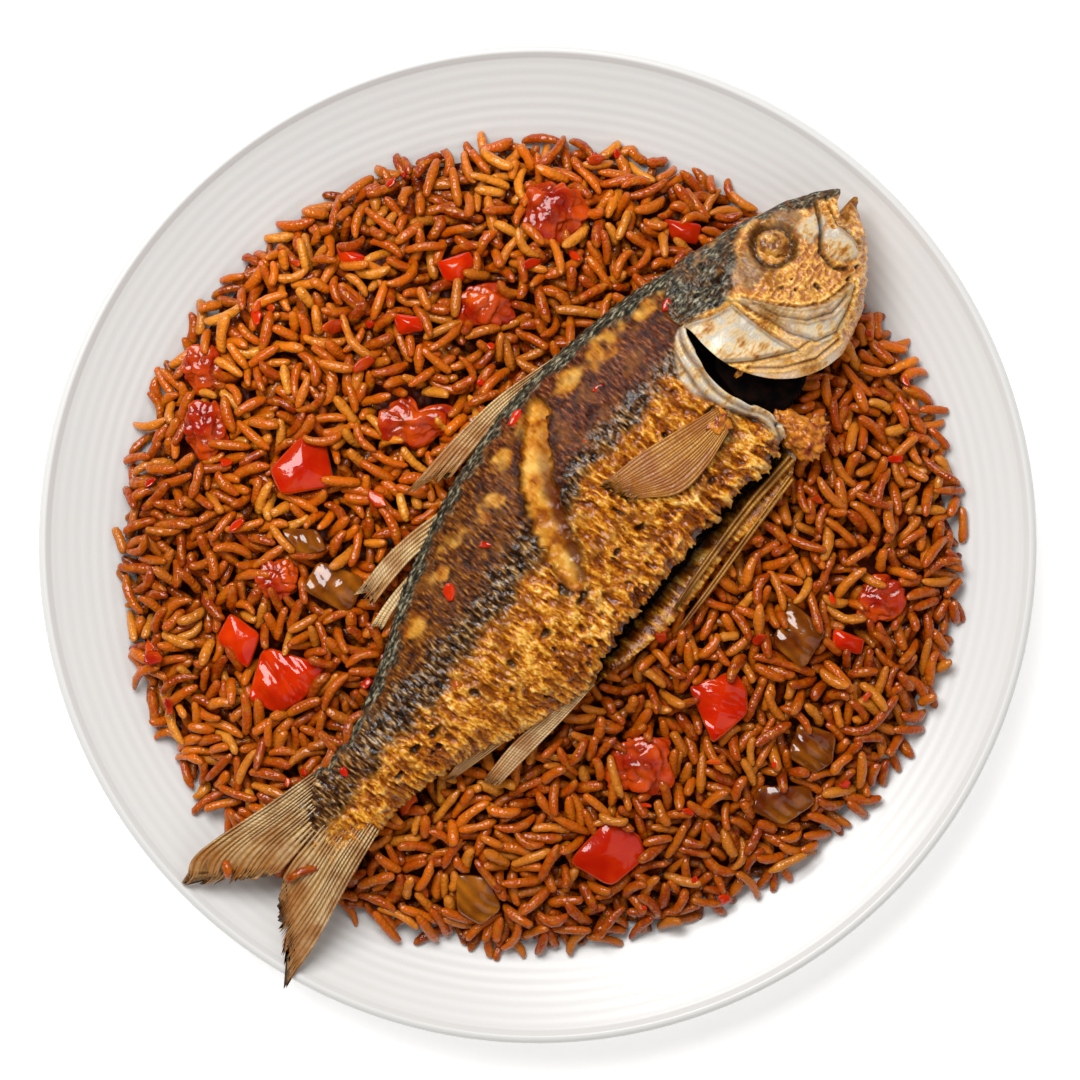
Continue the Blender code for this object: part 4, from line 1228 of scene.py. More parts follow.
bulge = thick * np.sin(np.concatenate([near_turn, cut_q * 0, far_turn]))
near_z = bulge + open_share * 3.8 * smooth(-0.6, -1, q)
far_z = bulge - open_share * 3.0 * smooth(-0.5, -1, q)
near_side = np.arange(len(q)) < NEAR_POINTS
far_side = np.arange(len(q)) >= NEAR_POINTS + len(CUT_Y)
y = np.where(near_side, near_y, middle + half * q)
z = np.where(near_side, near_z, far_z)
cut = slice(NEAR_POINTS, NEAR_POINTS + len(CUT_Y))
open_y = flap_y[:, cut] * (1 - CUT_SHARE) + belly_y[:, cut] * CUT_SHARE + CUT_Y
y[:, cut] = belly_y[:, cut] * (1 - open_share[:, cut]) + open_y * open_share[:, cut]
z[:, cut] = np.linspace(0.1, -0.1, len(CUT_Y)) * (1 - open_share[:, cut]) + CUT_Z * open_share[:, cut]

# The relief stands on the near side, is half as high on the far side, and is faint inside the belly.
flat = np.stack([x, y, z], -1)
relief, masks = trunk_look(x, y, q * np.ones_like(x), stop - x)
relief = relief * np.where(near_side, 1.0, np.where(far_side, 0.5, 0.25))
relief = relief - 0.8 * smooth(-1.0, 1.0, x - through(HEAD_START, q)) * (q > 0.3)
# The belly's hollow is painted dark as shade.
masks[:, cut, 5] = open_share[:, cut] * INSIDE_SHADE
flat = flat + grid_normals(flat) * relief[..., None]

# The front end turns in behind the gill opening, painted dark as shade from there on.
wall_steps = ((0.94, -0.3), (0.8, -1.2), (0.5, -2.5))
centre = np.stack([flat[-1, :, 0], np.full(len(q), middle[-1].mean()), np.zeros(len(q))], -1)
walls = [centre + (flat[-1] - centre) * [1, share, share] + [step, 0, 0] for share, step in wall_steps]
wall_masks = np.repeat(masks[-1:], len(walls), 0)
wall_masks[..., 5] = 1
trunk = np.concatenate([flat, np.array(walls)])
trunk_masks = np.concatenate([masks, wall_masks])

# %% [markdown]
# Fried skin has no colour of its own: the colours are browned layers under a film of oil. Each zone gets
# a dark and a light colour, and the ridges decide between them, because crests fry to gold and valleys
# stay dark; on the gold, the palest and darkest colours are also painted highlight on the crests and
# painted shade in the valleys. The fine streaks run across the body, so their pattern is read in a frame
# that is turned with the fish.

# %% Skin material
def turned_place(tree, sizes):
    """Object coordinates along and across the fish, in units of the given sizes in millimetres."""
    place = add(tree, "TexCoord").outputs["Object"]
    settings = {"Vector": place, "Rotation": (0, 0, FISH_TURN), "Scale": tuple(size * MM for size in sizes)}
    return add(tree, "Mapping", settings, vector_type="TEXTURE").outputs[0]


def parts_of(tree, name):
    """The three parts of a vector attribute."""
    split = add(tree, "SeparateXYZ", {0: add(tree, "Attribute", attribute_name=name).outputs["Vector"]})
    return split.outputs


# %% [markdown]
# The layers go on in the order of frying: brown skin first, then silver and gold over it, the flesh that
# shows in the cuts, the dark scales, the pale bones, and burnt spots with painted shade last.

# %% Fried skin
# Skin fried in oil: silver, brown and gold, blistered, and shiny with oil, with small hard points of light.
fish_skin, tree, shader = start_material("fried_fish_skin", IOR=1.47, Coat_Roughness=0.06,
                                         Specular_IOR_Level=0.12)
gold, band, back = parts_of(tree, "zone_a")
# inside: painted shade in the fish's hollows, the belly, behind the gill opening and under the cover.
flesh, pale, inside = parts_of(tree, "zone_b")
burnt_and_shade, purple, crest = parts_of(tree, "zone_c")

# Patterns in the skin: how long one hill of each is along the fish, across it and through it, in
# millimetres.
PATTERNS = {"streak": (0.75, 2.6, 2.6), "fleck": (0.55, 1.0, 1.0), "cloud": (6.0, 5.0, 5.0),
            "stroke": (2.2, 0.8, 1.0)}
pattern = {}
for name, sizes in PATTERNS.items():
    noise = {"Vector": turned_place(tree, sizes), "Scale": 1.0, "Detail": 3.0}
    pattern[name] = add(tree, "TexNoise", noise).outputs["Fac"]
streak, fleck, cloud, stroke = pattern.values()
# Fine flecks on the crests give painted glints.
pattern["crest"] = summed(tree, (crest, 0.5), (fleck, 0.62))
pattern["soft"] = summed(tree, (cloud, 0.8), (streak, 0.2))
pattern["veil"] = summed(tree, (cloud, 0.6), (stroke, 0.4))

# The colours of each zone, from the valleys of its pattern to the crests. The gold's dark foot and pale top
# are partly painted shade and painted highlight.
SHADES = {
    "brown": ("streak", [(0.3, "#1a0902"), (0.46, "#482004"), (0.58, "#743c0a"), (0.72, "#b07628")]),
    "plum": ("streak", [(0.3, "#220a04"), (0.48, "#4a1e0a"), (0.6, "#74391a"), (0.74, "#a86a3c")]),
    "silver": ("streak", [(0.34, "#120802"), (0.48, "#40240c"), (0.58, "#7a5226"), (0.72, "#d0a868")]),
    "gold": ("crest", [(0.2, "#340e00"), (0.42, "#8c4000"), (0.6, "#cc760c"),
                       (0.76, "#fcb840"), (0.9, "#ffe6a0")]),
    "scales": ("stroke", [(0.34, "#13120d"), (0.46, "#2f2c22"), (0.56, "#5a5442"), (0.7, "#b0a686")]),
    "flesh": ("soft", [(0.38, "#9a4c08"), (0.46, "#c87c1a"), (0.54, "#e09c34"), (0.64, "#f2be5e")]),
    "bone": ("veil", [(0.34, "#b06a22"), (0.42, "#dcaa68"), (0.5, "#f4dcb0"),
                      (0.56, "#d2cabb"), (0.66, "#fff4e0")]),
}
shade = {}
for name, (kind, stops) in SHADES.items():
    shade[name] = add(tree, "ValToRGB", {"Fac": pattern[kind]}, ramp=stops).outputs[0]

amber = add(tree, "MapRange", {"Value": cloud, "From Min": 0.5, "From Max": 0.68, "To Max": 0.42}).outputs[0]
deep = add(tree, "MapRange", {"Value": cloud, "From Min": 0.5, "From Max": 0.36, "To Max": 0.6}).outputs[0]
golden = layered(tree, shade["gold"], (deep, "#87470c"))
# Burnt skin and painted shade: near black, and red-brown on flesh.
char_and_shade = layered(tree, "#240a02", (flesh, "#5e1a02"))
fried = layered(tree, shade["brown"], (purple, shade["plum"]), (amber, "#a0601a"), (band, shade["silver"]),
                (gold, golden), (flesh, shade["flesh"]), (back, shade["scales"]), (pale, shade["bone"]),
                (burnt_and_shade, char_and_shade, 0.9), (inside, "#0b0402"))

# Oil stays on the gold, the silver band and the bare bones. The dry back has hardly any film.
oiled = summed(tree, (gold, 1.0), (band, 1.0), (pale, 0.9))
roughness = add(tree, "MapRange", {"Value": oiled, "To Min": 0.46, "To Max": 0.32}).outputs[0]
tree.links.new(roughness, shader.inputs["Roughness"])
film = add(tree, "MapRange", {"Value": oiled, "To Min": 0.08, "To Max": 1.0}).outputs[0]
tree.links.new(film, shader.inputs["Coat Weight"])
strength = add(tree, "MapRange", {"Value": pale, "To Min": 0.45, "To Max": 0.15}).outputs[0]
finish(tree, shader, fried, summed(tree, (streak, 1.0), (fleck, 0.8)), strength, 0.6 * MM)

ring_piece("fish_trunk", to_world(trunk), fish_skin, "fried_fish", "fried_fish_skin",
           **fish_zones(trunk_masks))

# %% [markdown]
# The head is made of thin bones that lie over one another: the gill cover, the curved bone in front of
# it, the cheek, and the upper and lower jaws. Their edges are lines on the surface, each with a groove on
# one side and a low rim. The mouth is a notch in the last ring, and the end point deep inside it makes
# the throat.

# %% Head zones
# The bones' edges as lines of (x, y), in millimetres. COVER_FRONT and JAW_GAP give x for each y.
COVER_FRONT = ((-16, 172.5), (-8, 171), (0, 170.5), (7, 170.5))
COVER_LOW = ((156, -1.5), (158.5, -4.2), (162, -7.6), (167, -11.4), (172.5, -15.2), (176, -16))
COVER_TOP = ((156, 12.5), (160, 11), (164, 8.3), (170, 6), (172, 6))
BOW_OUT = ((171.6, 6), (173.2, -3), (174.5, -11), (177.5, -17.5), (183, -20), (191, -17.5), (196, -15.5))
BOW_IN = ((173.6, 5), (177.5, -2.5), (181.5, -8.5), (187, -12.8), (196, -14.5))
JAW_GAP = ((206.4, 6), (201.5, 0.5), (196.5, -3.3), (196, -9), (198, -11.5))
JAW_FRONT = ((209, 4.5), (205.5, -2), (205, -9.5))
SUB_LINE = ((160, -8), (166, -15), (174, -20.5), (182, -22))
CROWN = ((155, 10), (162, 10.5), (170, 7.5), (177, 11), (184, 14.8), (190, 15.4), (197, 12.2), (205, 6.6),
         (213, 2.6))
BOW_FOLD = ((174.2, 1.5), (176, -5.5), (180, -12), (186, -15.8), (192, -15.6))
HEAD_LINES = (tuple((px, py) for py, px in COVER_FRONT), COVER_LOW, COVER_TOP, BOW_OUT, BOW_IN, BOW_FOLD,
              JAW_FRONT, SUB_LINE)
EYE = (190.0, 7.6)
SNOUT_PLATES = ((200.3, 2.6, 4.6, 2.8), (201.5, -5.5, 3.6, 5.6))
BROW = ((197, 9.5, 6, 3.6), (180, 8.5, 4.5, 4.5))
CROWN_FLESH = ((176.5, 20, 5.0, 1.4), (187.5, 15.8, 4, 0.9))
CHEEK_PITS = ((182.5, -1.5, 0.8, 0.5), (189, -8.6, 0.6, 1.1), (184.5, -4.5, 0.5, 0.5), (196, -13.5, 0.8, 0.5),
              (200, -13, 0.7, 0.5), (186, -2, 0.5, 0.3), (173.4, 13, 2.2, 0.8), (166, 14.5, 0.9, 0.6))


def head_look(x, y):
    """Height of the relief in millimetres and the nine zone masks of the head."""
    wobble = 0.5 * hills(x / 3, y / 3, seed=71)
    cover = (smooth(0.4, -0.4, x - through(COVER_FRONT, y)) * smooth(-0.4, 0.4, y - through(COVER_LOW, x))
             * smooth(0.4, -0.4, y - through(COVER_TOP, x)))
    bow = (smooth(-0.5, 0.5, y - through(BOW_OUT, x)) * smooth(0.5, -0.5, y - through(BOW_IN, x))
           * smooth(171.3, 172.0, x) * smooth(196.5, 195, x))
    crown = smooth(-1.0, 1.0, y - through(CROWN, x) + 2 * wobble)
    snout_white = near_spots(x, y, SNOUT_PLATES)
    from_eye = np.hypot(x - EYE[0], y - EYE[1])
    ring = smooth(4.2, 4.9, from_eye) * smooth(7.6, 5.8, from_eye + 1.6 * wobble)
    brow = near_spots(x, y, BROW) * (1 - crown)
    pits = near_spots(x, y, CHEEK_PITS)
    lines = [line_mark(x, y, line, 0.33) for line in HEAD_LINES]
    groove = np.max(lines, 0)
    rims = np.max([np.exp(-((near_line(x, y, line) - 0.9) / 0.4) ** 2) for line in HEAD_LINES], 0)
    gap = line_mark(x, y, JAW_GAP, 0.55)
    gold = np.clip(1 - cover - 0.7 * bow - crown - snout_white - 0.75 * brow, 0, 1)
    lobe = gold * smooth(-7, -11, y) * smooth(186, 178, x)
    bow_pale = bow * (0.66 + 0.4 * hills(x / 3.4, y / 2.4, seed=72, layers=2))
    pale = cover * (0.92 + 0.3 * wobble) + bow_pale + 0.8 * snout_white + lobe * (0.5 + 0.5 * wobble)
    pale = np.clip(pale + 0.1 * gold + 0.12 * brow, 0, 1) * (1 - 0.6 * np.maximum(rims, groove))
    crackle = ridges(y, x, 1.5, 1.5, 73) * (1 - 0.8 * lobe)
    lumps = hills(x / 1.7, y / 1.2, seed=74, layers=2)
    height = 0.3 + 0.45 * hills(x / 12, y / 9, seed=75) + 0.4 * hills(x / 5, y / 4, seed=78)
    height = height + gold * 0.34 * crackle * smooth(-24, -18, y) + 0.45 * crown * lumps * smooth(182, 172, x)
    height = height + 0.12 * crown * lumps + 0.85 * cover + 0.75 * bow + 0.85 * snout_white
    height = height + 0.3 * rims * (1 - groove) - 0.6 * groove - 1.9 * gap - 0.9 * pits
    height = height - 2.6 * smooth(7.2, 5.2, from_eye) + 0.4 * np.exp(-((from_eye - 8.3) / 0.9) ** 2)
    # Painted shade in the bone grooves, the jaw gap and the cheek pits; burnt skin with painted shade round
    # the eyeball; burnt skin at the snout's tip.
    burnt_and_shade = np.maximum.reduce([0.5 * groove, gap, pits, 0.95 * ring, 0.45 * smooth(211.5, 213.5, x)])
    flesh = near_spots(x, y, CROWN_FLESH) * 0.8 + 0.6 * smooth(4.6, 4.0, from_eye)
    dirty = crown * (0.75 + 0.5 * hills(x / 2.4, y / 2, seed=76, layers=2))
    # Brighter on the crackle's crests and the bones' rims: golden rims, and painted highlight.
    crest = 0.66 + 0.24 * crackle + 0.3 * rims
    masks = [gold, 0.55 * crown * smooth(186, 174, x), np.clip(dirty, 0, 1), np.clip(flesh, 0, 1), pale,
             np.zeros_like(x), np.clip(burnt_and_shade, 0, 1), 0.5 * brow, np.clip(crest, 0, 1)]
    return height, np.stack(masks, -1)


print("lines on the head:", len(HEAD_LINES))

# %% [markdown]
# The head is the front part of the same stack of sections. Its first ring is the free edge of the gill
# cover, and from there the surface turns in and narrows to a point, which gives the cover a thin
# underside, painted dark as shade. The last rings follow the lips, so they are not flat: they reach
# back at the corner of the mouth.

# %% Head
HEAD_RINGS, LIP_RINGS = 170, 26
HEAD_NEAR, HEAD_FAR = 200, 50
MOUTH_EDGE = ((-1, 212.0), (-0.85, 214.3), (-0.62, 215.2), (-0.45, 214.6), (-0.36, 212.8), (-0.33, 207.3),
              (0.0, 208.2),
              (0.3, 210.2), (0.5, 212.6), (0.7, 213.8), (0.88, 213.4), (1, 212.0))
MOUTH_CORNER_X = 206.4
head_turn = np.concatenate([even_turns(HEAD_NEAR, 0, np.pi),
                            even_turns(HEAD_FAR + 2, np.pi, 2 * np.pi)[1:-1]])
q = np.cos(head_turn)
start = through(HEAD_START, q)
mouth = np.interp(q, *np.array(MOUTH_EDGE).T)
x = np.concatenate([start + (MOUTH_CORNER_X - start) * np.linspace(0, 1, HEAD_RINGS)[:, None],
                    MOUTH_CORNER_X + (mouth - MOUTH_CORNER_X) * np.linspace(0, 1, LIP_RINGS + 1)[1:, None]])
middle, half, thick = section(x)
jaw_lift = 1.3 * smooth(207, 214, x) * smooth(-0.15, -0.4, q)
flat = np.stack([x, middle + half * q + jaw_lift, thick * np.sin(head_turn)], -1)
relief, masks = head_look(x, flat[..., 1])
near_half = np.sin(head_turn) > -0.02
relief = np.where(near_half, relief, 0.35) * smooth(214.8, 208, x)**0.5
skin = flat + grid_normals(flat) * relief[..., None]
hollow_steps = ((0.25, 9.0), (0.72, 4.5), (0.88, 1.8), (0.955, 0.35))
edge = skin[0]
hollow = [np.stack([edge[:, 0] + step, edge[:, 1] * share, edge[:, 2] * share], -1) for share,
          step in hollow_steps]
hollow_masks = np.repeat(masks[:1], len(hollow), 0)
# The cover's underside is painted dark as shade.
hollow_masks[:3, :, 5] = 1
hollow_masks[3, :, 5] = 0.4
# The throat behind the lips is painted dark as shade.
masks[-1, :, 5] = 0.5 * (np.abs(q - 0.2) < 0.5)
head = np.concatenate([np.array(hollow), skin])
BEHIND_COVER, THROAT = (172.0, 0, 0), (204.5, 0, 0)
ring_piece("fish_head", to_world(head), fish_skin, "fried_fish", "fried_fish_skin",
           ends=to_world([BEHIND_COVER, THROAT]), **fish_zones(np.concatenate([hollow_masks, masks])))

# %% [markdown]
# Small parts of the fish: the fried eye, the inside behind the gill cover, painted dark as shade, and the
# crisp scraps at the throat. Each is a ball that is stretched to size and made uneven, like the tomato lumps.

# %% Balls
def ball(middle, half, bumps, hill_size, seed, rings=36, sides=60):
    """A stretched ball in the fish's frame, whose radius changes by hills of its direction."""
    d = ball_directions(rings, sides)
    grow = 1 + bumps * hills(d[..., 0] * hill_size, d[..., 1] * hill_size, d[..., 2] * hill_size, seed, 3)
    return np.array(middle) + d * np.array(half) * grow[..., None]


# A fried eye: opaque, orange-brown and blistered.
eye_skin, tree, shader = start_material("fried_eye", Roughness=0.35, Coat_Weight=0.6, Coat_Roughness=0.08)
place = add(tree, "TexCoord").outputs["Object"]
patch = spots(tree, place, 500, 0.38, 0.64, 3.0)
finish(tree, shader, layered(tree, "#7a3c0c", (patch, "#d99a3c")), patch, 0.5, 0.5 * MM)

# Painted shade for the inside of the gills: almost black, because no light gets in, and dry.
gill_dark, tree, shader = start_material("gill_hollow", Roughness=0.8, Specular_IOR_Level=0.1)
place = add(tree, "TexCoord").outputs["Object"]
dark = layered(tree, "#050201", (spots(tree, place, 420, 0.4, 0.7), "#1c0903"))
tree.links.new(dark, shader.inputs["Base Color"])

# Crisp scraps of skin and gill: reddish brown crumbs with bright oily edges.
crisp, tree, shader = start_material("crisp_scrap", Roughness=0.35, Coat_Weight=0.3, Coat_Roughness=0.1)
place = add(tree, "TexCoord").outputs["Object"]
crumbs = layered(tree, "#8a2e02", (spots(tree, place, 420, 0.36, 0.62, 3.0), "#e48c1c"))
grit = add(tree, "TexNoise", {"Vector": place, "Scale": 900.0, "Detail": 3.0}).outputs["Fac"]
finish(tree, shader, crumbs, grit, 0.3, 0.6 * MM)

eye_z = float(flank_z(*EYE))
BALLS = {
    "fish_eye": (ball((EYE[0] + 0.4, EYE[1], eye_z - 2.4), (3.9, 4.3, 2.8), 0.14, 2.2, 81), eye_skin),
    "fish_gill_hollow": (ball((163, -1, -1.0), (16, 22, 3.6), 0.08, 3.0, 82), gill_dark),
    "fish_throat_crumb": (ball((155.8, -29.4, -0.8), (4.6, 8.0, 4.0), 0.22, 3.6, 83, 70, 110), crisp),
    "fish_throat_tip": (ball((160.5, -33.0, -3.0), (2.6, 2.6, 2.4), 0.5, 3.0, 84), crisp),
    "fish_breast_root": (ball((143.5, -11.6, 12.0), (3.6, 2.8, 1.3), 0.4, 2.6, 86), crisp),
    "fish_gill_scrap": (ball((158.0, -7.2, 7.0), (1.6, 0.8, 0.8), 0.5, 2.5, 85, 20, 24), crisp),
}
for name, (rings, material) in BALLS.items():
    ring_piece(name, to_world(rings), material, "fried_fish", "fried_fish_skin")

# %% [markdown]
# A fin is a thin sheet between an outer and an inner line, with a ridge for each ray. The skin between
# the rays burns away at the end, so the rays stand out as separate dark points: the sheet's last line is
# a row of teeth.

# %% Fins
def fin_rings(outer, inner, rays, length, teeth, splits=(), thick=(1.1, 0.35), lift=None, seed=0.0, steps=60):
    """Rings round a sheet in the fish's frame. Across it u goes from the outer line to the inner line,
    and v runs along the rays, which are a little unevenly spaced. The sheet ends at v = 1, plus a saw
    wave with two teeth of uneven length for each ray, less the splits (place, width, depth)."""
    per_ray = 12
    u = np.linspace(0, 1, rays * per_ray + 1)
    v = np.linspace(0, 1, steps)[:, None]
    phase = rays * (u + 0.012 * np.sin(6 * np.pi * u) + 0.005 * np.sin(16 * np.pi * u))
    saw = 1 - 2 * np.abs(2 * phase - np.floor(2 * phase) - 0.5)
    ray = np.floor(2 * phase)
    tooth = np.maximum(saw * 2.6 - 1.7, -0.35) + 0.55 * hills(ray * 0.83, 1.5, seed=seed + 1)
    tooth = tooth + 0.4 * hills(u * 4, 2.5, seed=seed + 2)
    reach = 1 + teeth / length * tooth * smooth(1.0, 0.88, u)
    for place, width, depth in splits:
        reach = reach - depth / length * np.exp(-((u - place) / width) ** 4)
    along = v * reach
    over = np.clip(along - 1, 0, None) * length
    stop = np.clip(along, 0, 1)
    edges = []
    for line in (outer, inner):
        way = np.linspace(0, 1, len(line))
        edges.append(np.stack([through(tuple(zip(way, column)), stop) for column in zip(*line)], -1))
    point = edges[0] * (1 - u)[:, None] + edges[1] * u[:, None]
    flow = np.gradient(point, axis=0)
    flow = flow[steps // 2] / np.linalg.norm(flow[steps // 2], axis=-1, keepdims=True)
    point = point + over[..., None] * flow
    crest = np.abs(np.sin(np.pi * phase)) ** 0.7
    body = thick[0] + (thick[1] - thick[0]) * np.clip(along, 0, 1)
    x, y = point[..., 0], point[..., 1]
    middle = 0.35 * hills(x / 5, y / 5, seed=seed + 3) + (0 if lift is None else lift(x, y, stop))
    top = middle + body * (0.35 + 0.65 * crest)
    bottom = middle - body * (0.25 + 0.5 * crest)
    taper = smooth(0, 0.06, 1 - v)
    top = middle + (top - middle) * (0.25 + 0.75 * taper)
    bottom = middle + (bottom - middle) * (0.25 + 0.75 * taper)
    upper = np.concatenate([point, top[..., None]], -1)
    lower = np.concatenate([point, bottom[..., None]], -1)[:, ::-1]
    fade = np.clip(0.6 + 0.5 * hills(x / 9, y / 4, seed=seed + 4), 0.15, 1)
    marks = np.stack([1 - (1 - crest) * fade, along * length, smooth(2.0, 7.0, over)], -1)
    return np.concatenate([upper, lower], 1), np.concatenate([marks, marks[:, ::-1]], 1)

# %% [markdown]
# All the fins share one recipe with different colours. A fin's points know how far they are from a ray's
# crest and how far along the ray they lie, so the stripes, the joints and the burnt tips follow the rays.

# %% Fin finishes
def fin_material(name, ray_colours, web, blotch, blotches):
    """Fin rays fried crisp: half see-through, striped across by their joints, blotched, and burnt at the
    tips."""
    made, tree, shader = start_material(name, Roughness=0.34, IOR=1.45, Coat_Weight=0.2, Coat_Roughness=0.12,
                                        Subsurface_Weight=0.08, Subsurface_Scale=1 * MM)
    ray_crest, way, tip = parts_of(tree, "fin")
    place = add(tree, "TexCoord").outputs["Object"]
    joints = add(tree, "Math", {0: summed(tree, (way, 7.5))}, operation="SINE").outputs[0]
    joint_lines = {"Value": joints, "From Min": -0.4, "From Max": 1.0, "To Max": 0.5}
    joints = add(tree, "MapRange", joint_lines).outputs[0]
    patch = spots(tree, place, 150, 0.42, 0.62, 3.0)
    speck = spots(tree, place, 900, 0.35, 0.7, 2.0)
    rays = add(tree, "ValToRGB", {"Fac": ray_crest}, ramp=ray_colours).outputs[0]
    browned = {"Value": way, "From Min": 14.0, "From Max": 42.0, "To Max": 0.7}
    browned = add(tree, "MapRange", browned).outputs[0]
    colour = layered(tree, rays, (joints, web), (patch, blotch, blotches), (speck, web, 0.35),
                     (browned, blotch), (tip, "#522408"))
    finish(tree, shader, colour, speck, 0.4, 0.3 * MM)
    return made


# Straw-coloured rays with darker lines between them.
fin_skin = fin_material("crisp_fin_rays",
                        [(0.1, "#7c4e18"), (0.35, "#bd883e"), (0.7, "#e4bc70"), (1.0, "#f6e0b2")],
                        "#946224", "#9c5812", 0.65)
# The breast fin soaked up oil: even orange-brown, and its rays hardly stand out.
breast_skin = fin_material("oily_breast_fin", [(0.1, "#7a3e06"), (0.5, "#b06c18"), (1.0, "#dca648")],
                           "#8e4c0c", "#9a5008", 0.7)
# Bare belly spines: golden-brown rods.
spine_skin = fin_material("golden_spines", [(0.1, "#6e3606"), (0.5, "#c07a1a"), (1.0, "#f0b854")],
                          "#9a5c14", "#6e3406", 0.6)

# %% [markdown]
# The fins themselves are a table: the outer and inner line of each, the number of rays, their length, the
# depth of the teeth, splits and thickness, all in millimetres of the fish's frame.

# %% Table of fins
def above_flank(rise):
    """How high a sheet lies that rests on the flank and lifts off it towards its end."""
    return lambda x, y, v: flank_z(x, y) + 0.4 + rise * v


FINS = {
    "tail_upper": dict(outer=((3, 11.4), (-12, 15.3), (-28, 20.0), (-36, 21.2), (-41, 19.0)),
                       inner=((3, 0.5), (-6, 0.6), (-12, 0.6), (-18, 0.6), (-23.5, 0.8)),
                       rays=15, length=46, teeth=4.8,
                       splits=((0.17, 0.035, 8.0), (0.36, 0.03, 5.0), (0.5, 0.02, 2.5)), thick=(2.6, 0.4),
                       seed=101),
    "tail_lower": dict(outer=((3, -12.4), (-12, -14.9), (-26, -17.8), (-34, -19.2), (-41.5, -19.8)),
                       inner=((3, -0.5), (-6, 0.2), (-12, 0.2), (-18, 0.2), (-23.5, -0.6)),
                       rays=15, length=46, teeth=5.2,
                       splits=((0.08, 0.02, 2.5), (0.2, 0.03, 4.0), (0.3, 0.02, 3.0)), thick=(2.6, 0.4),
                       seed=105),
    "back_fin_first": dict(outer=((130, 33.0), (112, 37.8), (96, 39.6), (81, 40.0)),
                           inner=((122, 32.5), (110, 33.6), (98, 33.6), (88, 33.4)),
                           rays=6, length=46, teeth=5.0, splits=((0.5, 0.05, 7.0), (0.8, 0.06, 4.0)),
                           thick=(1.3, 0.5), seed=111),
    "back_fin_second": dict(outer=((79, 30.0), (70, 32.2), (60, 33.4), (50, 33.2)),
                            inner=((70, 26.5), (64, 27.6), (56, 27.8), (49, 27.6)),
                            rays=6, length=28, teeth=3.5, splits=((0.7, 0.08, 5.0),), thick=(1.3, 0.45),
                            seed=115),
    "back_fin_last": dict(outer=((60, 25.5), (54, 25.6), (48, 25.2), (43.5, 24.6)),
                          inner=((58, 23.0), (53, 22.6), (49, 22.2), (46, 21.6)),
                          rays=3, length=15, teeth=2.0, thick=(1.0, 0.4), seed=119, steps=36),
    "vent_flap": dict(outer=((66, -24), (48, -19.2), (34, -17.0), (24.5, -17.0)),
                      inner=((66, -28), (52, -25.0), (38, -21.6), (27, -18.8)),
                      rays=7, length=42, teeth=1.2, thick=(2.6, 0.8), seed=121),
    "anal_fin": dict(outer=((70, -29), (56, -26.6), (44, -24.6), (32, -24.8)),
                     inner=((70, -31.2), (58, -30.8), (46, -30.0), (33, -29.0)),
                     rays=7, length=38, teeth=1.6, thick=(1.6, 0.7), seed=125),
    "belly_fin": dict(outer=((150, -31.2), (132, -31.0), (112, -32.4), (100, -33.9)),
                      inner=((150, -34.0), (132, -33.4), (112, -34.4), (99, -35.2)),
                      rays=2, length=52, teeth=2.0, splits=((0.75, 0.08, 6.0),), thick=(2.4, 1.0),
                      lift=lambda x, y, v: -2.2 + 0 * x, seed=131),
    "belly_fin_low": dict(outer=((146, -35.0), (128, -36.2), (110, -37.6), (95, -38.6)),
                          inner=((146, -37.0), (128, -38.0), (110, -39.2), (96, -39.8)),
                          rays=2, length=52, teeth=2.0, thick=(1.8, 0.8), lift=lambda x, y, v: -4.2 + 0 * x,
                          seed=135),
    "breast_fin": dict(outer=((147, -8.6), (136, -4.6), (125, -1.0), (113, 1.4)),
                       inner=((144, -15.0), (133, -16.6), (123, -15.4), (115, -8.0)),
                       rays=16, length=36, teeth=3.0, splits=((0.12, 0.03, 2.0),), thick=(0.6, 0.25),
                       lift=above_flank(0.3), seed=141),
}
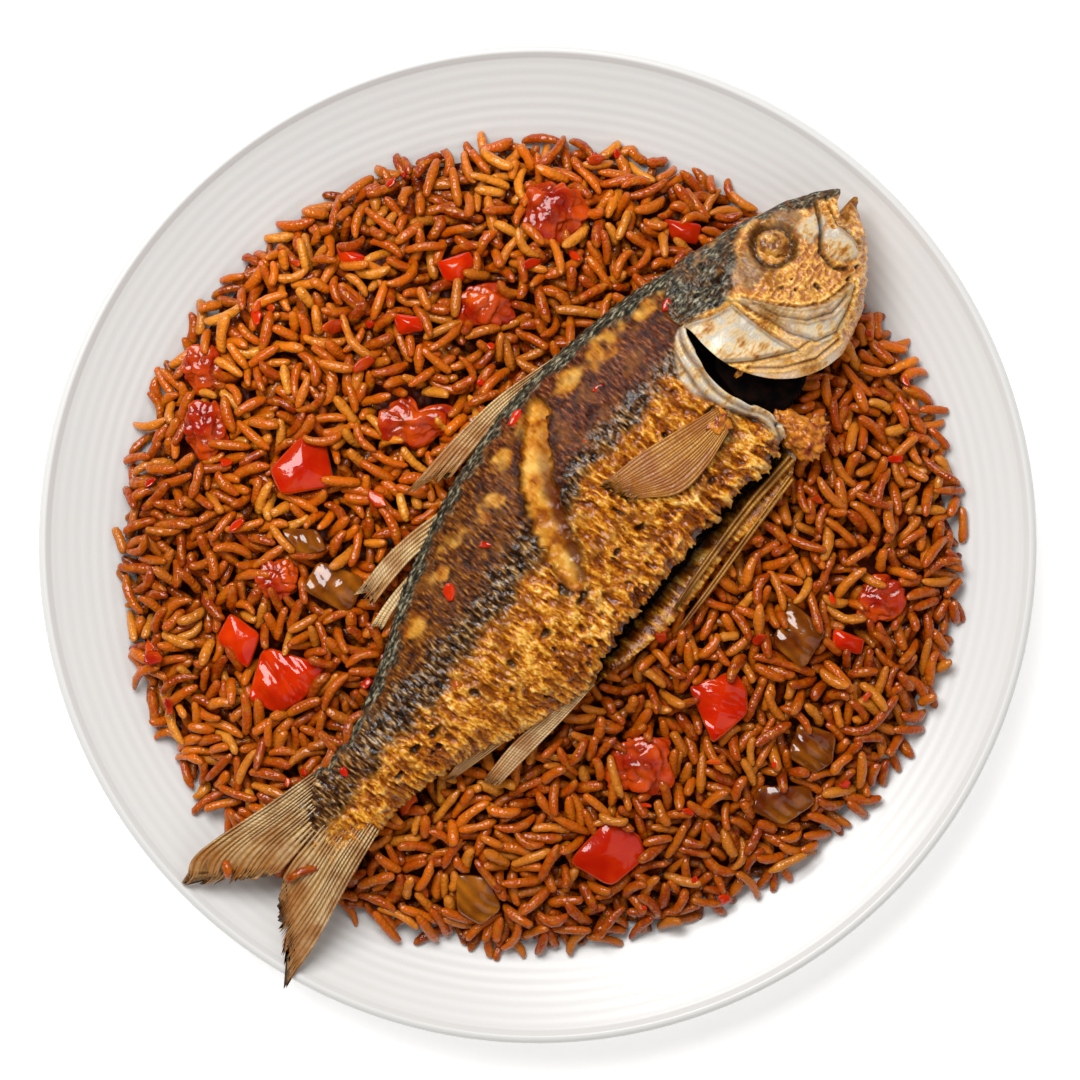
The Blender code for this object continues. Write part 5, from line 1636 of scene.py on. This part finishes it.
for name, fin in FINS.items():
    rings, marks = fin_rings(**fin)
    skin = {"breast": breast_skin, "belly": spine_skin}.get(name.split("_")[0], fin_skin)
    ring_piece("fish_" + name, to_world(rings), skin, "fried_fish", "fried_fish_skin", fin=marks)

# %% [markdown]
# Last, the things that fell on the fish: chips of red pepper, and grains that stick to the tail. They are
# made by the same functions as the scraps and grains in the heap, and their places are listed.

# %% On the fish
# Chips: x and y on the fish, size in millimetres, length for its width, and turn.
CHIPS = ((110.5, 30.2, 2.0, 1.5, 0.2), (64, 14, 1.7, 1.3, 0.5), (80, 14.8, 0.9, 2.3, 2.2),
         (130.5, 18.6, 0.8, 1.8, 2.6),
         (159.5, 18.8, 1.5, 1.2, 0.0), (9, 4.8, 1.0, 1.6, 1.2), (117.5, 12, 0.6, 1.2, 1.0))
fx, fy, size, long, turn = np.array(CHIPS).T
chip_places = to_world(np.stack([fx, fy, np.where(fx > 0, flank_z(fx, fy) + 0.4, 0.9)], -1))
none = np.zeros(len(fx))
points = scrap_points(*chip_places.T, size * MM, long, turn + FISH_TURN, (none, none), fx)
crowd_piece("pepper_chips_on_fish", points, len(SCRAP_SHARES), SCRAP_SIDES, pepper, slot="red_pepper",
            skin=np.ones(len(fx) * points.shape[1]))

# Grains: x and y on the fish, heading in degrees, and length in millimetres.
STUCK_GRAINS = ((-19.3, -3.8, -28, 9.2), (-31.8, 12.2, 50, 5.0), (10, 10.8, 20, 7.5), (14, 11.6, -65, 6.5),
                (17.5, 10.6, 35, 7.6), (22, 11.8, -15, 7.2), (12.5, 13.5, 80, 7.0), (46.5, -3.4, 60, 3.4))
rows = []
for gx, gy, heading, length in STUCK_GRAINS:
    rest = 1.6 if gx < 0 else float(flank_z(gx, gy)) * 0.8 + 1.0
    spot = to_world((gx, gy, rest))
    rows.append((*spot, math.radians(heading) + FISH_TURN, 0.0, length * MM, 1.35 * MM))
grains_piece("rice_grains_on_fish", np.array(rows), np.full(len(rows), 0.25), rice)

# %% [markdown]
# ## Sizes
# The finished meal has to fill the same space as its solids, so both boxes are printed.

# %% Finish
visual_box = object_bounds()
sizes = {"cad": [list(corner) for corner in cad_box], "visual": [list(corner) for corner in visual_box]}
print("boxes:", sizes)
